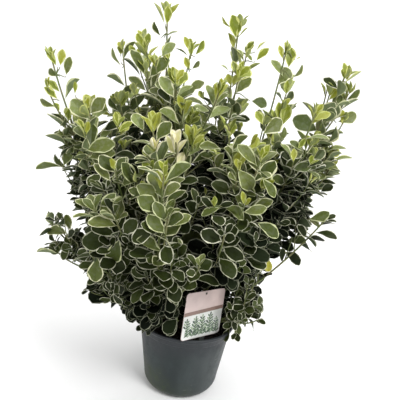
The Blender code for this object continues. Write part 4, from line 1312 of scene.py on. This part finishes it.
def leafTemplate(age, number):
    shape = leafShapes[age]
    source = random.Random(100 * number + len(age))
    narrow, wide = shape["width"]
    width = narrow + (wide - narrow) * number / (leafRule["templates"] - 1)
    fold = source.uniform(*shape["fold"])
    bend = source.uniform(*shape["bend"]) + leafShapes["leastBend"]
    rimWidth = source.uniform(*shape["margin"])
    roundness = source.uniform(*shape["tip"])
    phase = source.uniform(0, math.tau)
    rows = leafShapes["plainRows" if age == "deep" else "rows"]
    stalk = leafShapes["stalk"]
    flat = leafShapes["flatFold"]

    def halfWidth(s):
        # Broadest past the middle, with a round tip and a wedge at the foot.
        crimp = 1 + leafShapes["crimpDepth"] * math.sin(leafShapes["crimps"] * s + phase)
        outline = math.sin(math.pi * s ** leafShapes["broadest"]) ** roundness
        return width / 2 * (outline * (1 - leafShapes["wedge"] * (1 - s) ** 3)) * crimp

    def place(x, s, below):
        # Fold the blade up from its midrib, wave its edge and bend it along its length.
        share = abs(x) / (width / 2)
        wave = leafShapes["waveHeight"] * share * math.sin(leafShapes["waves"] * s + phase + (x > 0))
        z = fold * abs(x) * (flat + (1 - flat) * share) + wave
        if below:
            z -= leafShapes["thickness"]
        turn = bend * (stalk + (1 - stalk) * s)
        y = math.sin(turn) / bend + z * math.sin(turn)
        return (x, y, z * math.cos(turn) - (1 - math.cos(turn)) / bend)

    vertices = []
    faces = []
    parts = []

    def corner(x, s, below=False):
        vertices.append(place(x, s, below))
        return len(vertices) - 1

    edges = [(corner(-halfWidth(s), s), corner(halfWidth(s), s)) for s in rows]
    vertices.append((0.0, 0.0, 0.0))
    base = len(vertices) - 1
    tip = corner(0.0, 1.0)
    for below in (False, True):
        across = []
        for k, s in enumerate(rows):
            full = halfWidth(s)
            steps = leafShapes["raggedStep"] * k + phase
            strips = [rimWidth * (1 + leafShapes["ragged"] * math.sin(steps + side)) for side in (0, 2)]
            left, right = [max(full - strip, full * leafShapes["leastBlade"]) for strip in strips]
            across.append((corner(-left, s, below), corner(0.0, s, below), corner(right, s, below)))
        start = corner(0.0, rows[0] * leafShapes["footMargin"], below)
        end = corner(0.0, 1 - (1 - rows[-1]) * leafShapes["tipMargin"], below)
        margin, blade = leafParts.index("margin"), leafParts.index("under" if below else "blade")
        first, last = across[0], across[-1]
        # each face is a part's number and its corners
        patches = [(margin, base, start, first[0], edges[0][0]), (margin, base, edges[0][1], first[2], start),
                   (blade, start, first[1], first[0]), (blade, start, first[2], first[1])]
        for k, (low, high) in enumerate(zip(across, across[1:])):
            patches += [(margin, edges[k][0], low[0], high[0], edges[k + 1][0]),
                        (blade, low[0], low[1], high[1], high[0]),
                        (blade, low[1], low[2], high[2], high[1]),
                        (margin, low[2], edges[k][1], edges[k + 1][1], high[2])]
        patches += [(margin, edges[-1][0], last[0], end, tip), (margin, last[2], edges[-1][1], tip, end),
                    (blade, last[0], last[1], end), (blade, last[1], last[2], end)]
        for part, *corners in patches:
            faces.append(tuple(reversed(corners)) if below else corners)
            parts.append(part)
    name = f"leaf_{age}_{number}"
    mesh = bpy.data.meshes.new(name)
    mesh.from_pydata(vertices, [], faces)
    mesh.attributes.new("part", "INT", "FACE").data.foreach_set("value", parts)
    mesh.shade_smooth()
    mesh.set_sharp_from_angle(angle=math.radians(leafShapes["crease"]))
    return bpy.data.objects.new(name, mesh)


def leafTree(age, materials):
    # Leaves set on points: each point holds its turn, size, template and shades.
    tree = GeometryTree(f"leaf_sprays_{age}", [("Templates", "NodeSocketCollection", None),
                                               ("Leaf Size", "NodeSocketFloat", 1.0)])

    def named(kind, name):
        return tree.node("GeometryNodeInputNamedAttribute", {"data_type": kind}, {"Name": name})

    def equal(first, second):
        return tree.node("FunctionNodeCompare", {"data_type": "INT", "operation": "EQUAL"},
                         {2: first, 3: second})

    templates = tree.node("GeometryNodeCollectionInfo", None,
                          {"Collection": tree.given("Templates"), "Separate Children": True,
                           "Reset Children": True})
    points = tree.node("GeometryNodeMeshToPoints", None, {"Mesh": tree.given("Geometry")})
    sprays = tree.node("GeometryNodeInstanceOnPoints", None,
                       {"Points": points, "Instance": templates, "Pick Instance": True,
                        "Instance Index": named("INT", "template"), "Rotation": named("QUATERNION", "turn"),
                        "Scale": named("FLOAT", "size") * tree.given("Leaf Size")})
    shape = tree.realized(sprays)
    shades = {"blade": "shade", "margin": "margin"}
    for (kind, number), material in materials.items():
        chosen = equal(named("INT", "part"), leafParts.index(kind))
        if kind in shades:
            chosen = tree.node("FunctionNodeBooleanMath", {"operation": "AND"},
                               {0: chosen, 1: equal(named("INT", shades[kind]), number)})
        shape = tree.dressed(shape, material, chosen)
    tree.finish(shape)
    return tree


def leafPiece(name, leaves, tree, templates):
    # One mesh point for each leaf, with what the tree reads.
    mesh = bpy.data.meshes.new(name + "_points")
    mesh.from_pydata([leaf["point"] for leaf in leaves], [], [])
    turns = []
    for leaf in leaves:
        along = leaf["along"].normalized()
        across = along.cross(leaf["above"]).normalized()
        turns += list(Matrix((across, along, across.cross(along))).transposed().to_quaternion())
    kinds = {"turn": "QUATERNION", "size": "FLOAT", "template": "INT", "shade": "INT", "margin": "INT"}
    for label, kind in kinds.items():
        values = turns if label == "turn" else [leaf[label] for leaf in leaves]
        mesh.attributes.new(label, kind, "POINT").data.foreach_set("value", values)
    piece = runTree(addObject(name + "_points", mesh), tree, name, {"Templates": templates})
    for label in (*kinds, "part"):
        attribute = piece.data.attributes.get(label)
        if attribute:
            piece.data.attributes.remove(attribute)
    return piece


def leafPieces(leaves):
    # One piece for each age, or a few, sector by sector, where its leaves are many.
    pieces = []
    for age in leafFinish["blades"]:
        own = [leaf for leaf in leaves if leaf["age"] == age]
        if not own:
            continue
        templates = bpy.data.collections.new(f"templates_{age}")
        bpy.context.scene.collection.children.link(templates)
        for number in range(leafRule["templates"]):
            templates.objects.link(leafTemplate(age, number))
        tree = leafTree(age, leafMaterials(age))
        count = math.ceil(len(own) / leafRule["mostInPiece"])
        own.sort(key=lambda leaf: math.atan2(leaf["point"].y, leaf["point"].x))
        for part in range(count):
            group = own[part * len(own) // count:(part + 1) * len(own) // count]
            name = f"leaves_{age}_{part + 1}" if count > 1 else f"leaves_{age}"
            pieces.append(leafPiece(name, group, tree, templates))
        for template in list(templates.objects):
            bpy.data.objects.remove(template, do_unlink=True)
        bpy.data.collections.remove(templates)
        print(f"{age} leaves: {len(own)}")
    return pieces


def tubeTree(name, sides, material):
    # A tapering tube along each curve.
    tree = GeometryTree(name, [("Sides", "NodeSocketInt", sides), ("Thickness", "NodeSocketFloat", 1.0)])
    ring = tree.node("GeometryNodeCurvePrimitiveCircle", None,
                     {"Resolution": tree.given("Sides"), "Radius": tree.given("Thickness")})
    tubes = tree.node("GeometryNodeCurveToMesh", None,
                      {"Curve": tree.given("Geometry"), "Profile Curve": ring, "Fill Caps": True,
                       "Scale": tree.node("GeometryNodeInputRadius")})
    tubes = tree.node("GeometryNodeSetShadeSmooth", None, {"Geometry": tubes})
    tree.finish(tree.dressed(tree.realized(tubes), material))
    return tree


def tubePiece(name, limbs, tree):
    # Each limb is a path with its first and last radius.
    data = bpy.data.curves.new(name + "_paths", "CURVE")
    data.dimensions = "3D"
    for path, first, last in limbs:
        spline = data.splines.new("POLY")
        spline.points.add(len(path) - 1)
        for k, point in enumerate(path):
            spline.points[k].co = (*point, 1.0)
            spline.points[k].radius = first + (last - first) * k / (len(path) - 1)
    return runTree(addObject(name + "_paths", data), tree, name)


shoots = growShoots()
shownOnes, stalks = placeShownLeaves(shoots)
leaves = placeLeaves(shoots, shownOnes)
print(f"{len(shoots)} shoots, {len(leaves)} leaves")
foliage = leafPieces(leaves)
for piece in foliage:
    rideAlong(piece, "leaves")
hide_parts(*masses)

makePot()
makeCompost()
makeCard()
makeStake()
print("pot, compost and card made")

stem = {
    "footShare": 0.92, "waistShare": 0.96, "waistHeight": 0.4, "wallSteps": 6, "domeSteps": 26, "sides": 96,
    "boughSteps": 60, "boughSides": 24, "twigSides": 6,
    # relief: depth of the ridges and of the cracks, scale along each axis
    "stemRelief": (0.0016, 0.0007, (70.0, 70.0, 22.0)),
    "boughRelief": (0.00042, 0.00014, (420.0, 420.0, 110.0)),
    "crackScale": 2.7, "crackWidth": 0.25, "streakSpan": (0.38, 0.66), "bumpScale": 5, "bumpStrength": 0.6,
}
bark = {
    # colours of the cracks and the ridges, scale and stretch of the streaks, roughness, depth of the bump
    "old": ((0.045, 0.034, 0.022), (0.17, 0.13, 0.085), 90.0, (1, 1, 0.3), 0.9, 0.0012),
    "bough": ((0.055, 0.046, 0.027), (0.16, 0.13, 0.08), 120.0, (1, 1, 0.25), 0.8, 0.0008),
    "young": ((0.105, 0.140, 0.036), (0.185, 0.175, 0.075), 60.0, (1, 1, 1), 0.6, 0.0004),
}


def barkRelief(mesh, ridges, cracks, scale):
    # Push the surface in and out along its normals: long ridges, with finer cracks between them.
    wide = stem["crackWidth"]
    normals = [vertex.normal.copy() for vertex in mesh.vertices]
    for vertex, normal in zip(mesh.vertices, normals):
        place = Vector([a * b for a, b in zip(vertex.co, scale)])
        ridge = min(0.0, noise.fractal(place, 1.0, 2.0, 4))
        crack = max(0.0, wide - abs(noise.noise(place * stem["crackScale"]))) / wide
        vertex.co += normal * (ridge * ridges - crack * cracks)


def barkFinish(age):
    # Streaks along the stem, from the bark's dark cracks to its dry ridges.
    low, high, scale, stretch, roughness, depth = bark[age]
    finish = Finish(age + "_bark", low, roughness)
    streak = finish.ramp(finish.grain(scale, 4.0, stretch), *stem["streakSpan"])
    finish.feed({"Base Color": finish.mix(streak, low, high)})
    finish.bump(finish.grain(scale * stem["bumpScale"], 4.0, stretch), stem["bumpStrength"], depth)
    return finish.material


def makeStem():
    # The short domed stem that every bough springs from.
    foot = compost["level"] + crown["gap"]
    radius, shoulder = crown["stoolRadius"], foot + crown["stoolHeight"]
    corners = [(radius * stem["footShare"], foot),
               (radius * stem["waistShare"], foot + crown["stoolHeight"] * stem["waistHeight"]),
               (radius, shoulder)]
    profile = [(0, foot)]
    steps = stem["wallSteps"]
    for (first, low), (last, high) in zip(corners, corners[1:]):
        for k in range(steps):
            profile.append((first + (last - first) * k / steps, low + (high - low) * k / steps))
    profile += quarterArc(0, shoulder, radius, 0, stem["domeSteps"])[:-1] + [(0, shoulder + radius)]
    piece = turned("crown_stem_bark", profile, stem["sides"], barkFinish("old"))
    barkRelief(piece.data, *stem["stemRelief"])
    rideAlong(piece, "old_bark", "crown_stem")


def makeBoughs():
    # The boughs follow the solids' own curves, with bark that is rough enough to see.
    limbs = [(curvePath(curve, stem["boughSteps"], 0.0, crown["entryShare"]), crown["boughFootRadius"],
              crown["boughTipRadius"]) for curve in curves.values()]
    piece = tubePiece("boughs", limbs, tubeTree("bough_tubes", stem["boughSides"], barkFinish("bough")))
    barkRelief(piece.data, *stem["boughRelief"])
    rideAlong(piece, "bark", *["bough_" + name for name in masses])


def leafyPart(shoot):
    # A shoot's path as far as its last leaf.
    last = len(shoot["path"]) - 1
    return [pathPoint(shoot["path"], shoot["used"] * k / last)[0] for k in range(last + 1)]


def makeTwigs():
    # Young stems are green and nearly smooth.
    limbs = [(leafyPart(shoot), shoot["radius"], shoot["tip"]) for shoot in shoots if shoot["used"]]
    limbs += [(stalk, shootRule["twigRadius"], shootRule["twigTip"]) for stalk in stalks]
    tree = tubeTree("twig_tubes", stem["twigSides"], barkFinish("young"))
    rideAlong(tubePiece("twigs", limbs, tree), "bark")


makeStem()
makeBoughs()
makeTwigs()
print("stems made")

# Lights, and a pale floor that sweeps up behind the plant
studio = {
    "width": 9.0, "front": 4.0, "back": 2.6, "bend": 1.2, "bendSteps": 24, "wall": 3.2, "surround": 0.66,
    "colour": (0.94, 0.94, 0.94), "roughness": 0.9,
    "lights": {"key": {"place": (1.5, -1.9, 2.6), "aim": (0, 0, 0.4), "size": 1.2, "power": 78.0},
               "fill": {"place": (-2.2, -1.4, 1.5), "aim": (0, 0, 0.4), "size": 2.0, "power": 12.0},
               "backdrop": {"place": (0.0, 1.4, 3.0), "aim": (0, 3.0, 0.4), "size": 3.0, "power": 70.0}},
}


def makeFloor():
    back, bend, half = studio["back"], studio["bend"], studio["width"] / 2
    profile = [(-studio["front"], 0.0)] + quarterArc(back, bend, bend, -90, studio["bendSteps"])
    profile.append((back + bend, studio["wall"]))
    vertices = [(x, y, z) for y, z in profile for x in (-half, half)]
    faces = [(2 * k, 2 * k + 1, 2 * k + 3, 2 * k + 2) for k in range(len(profile) - 1)]
    mesh = bpy.data.meshes.new("floor")
    mesh.from_pydata(vertices, [], faces)
    mesh.shade_smooth()
    mesh.materials.append(Finish("pale_floor", studio["colour"], studio["roughness"]).material)
    addObject("floor", mesh)


def makeStudio():
    makeFloor()
    for name, lamp in studio["lights"].items():
        light = bpy.data.lights.new(name, "AREA")
        light.size = lamp["size"]
        light.energy = lamp["power"]
        obj = addObject(name, light)
        obj.location = lamp["place"]
        aim = Vector(lamp["aim"]) - obj.location
        obj.rotation_euler = aim.to_track_quat("-Z", "Y").to_euler()
    world = bpy.data.worlds.new("studio")
    world.use_nodes = True
    background = world.node_tree.nodes["Background"]
    background.inputs["Color"].default_value = (1, 1, 1, 1)
    background.inputs["Strength"].default_value = studio["surround"]
    bpy.context.scene.world = world
    bpy.context.scene.view_settings.view_transform = "Standard"


makeStudio()
print("studio made")
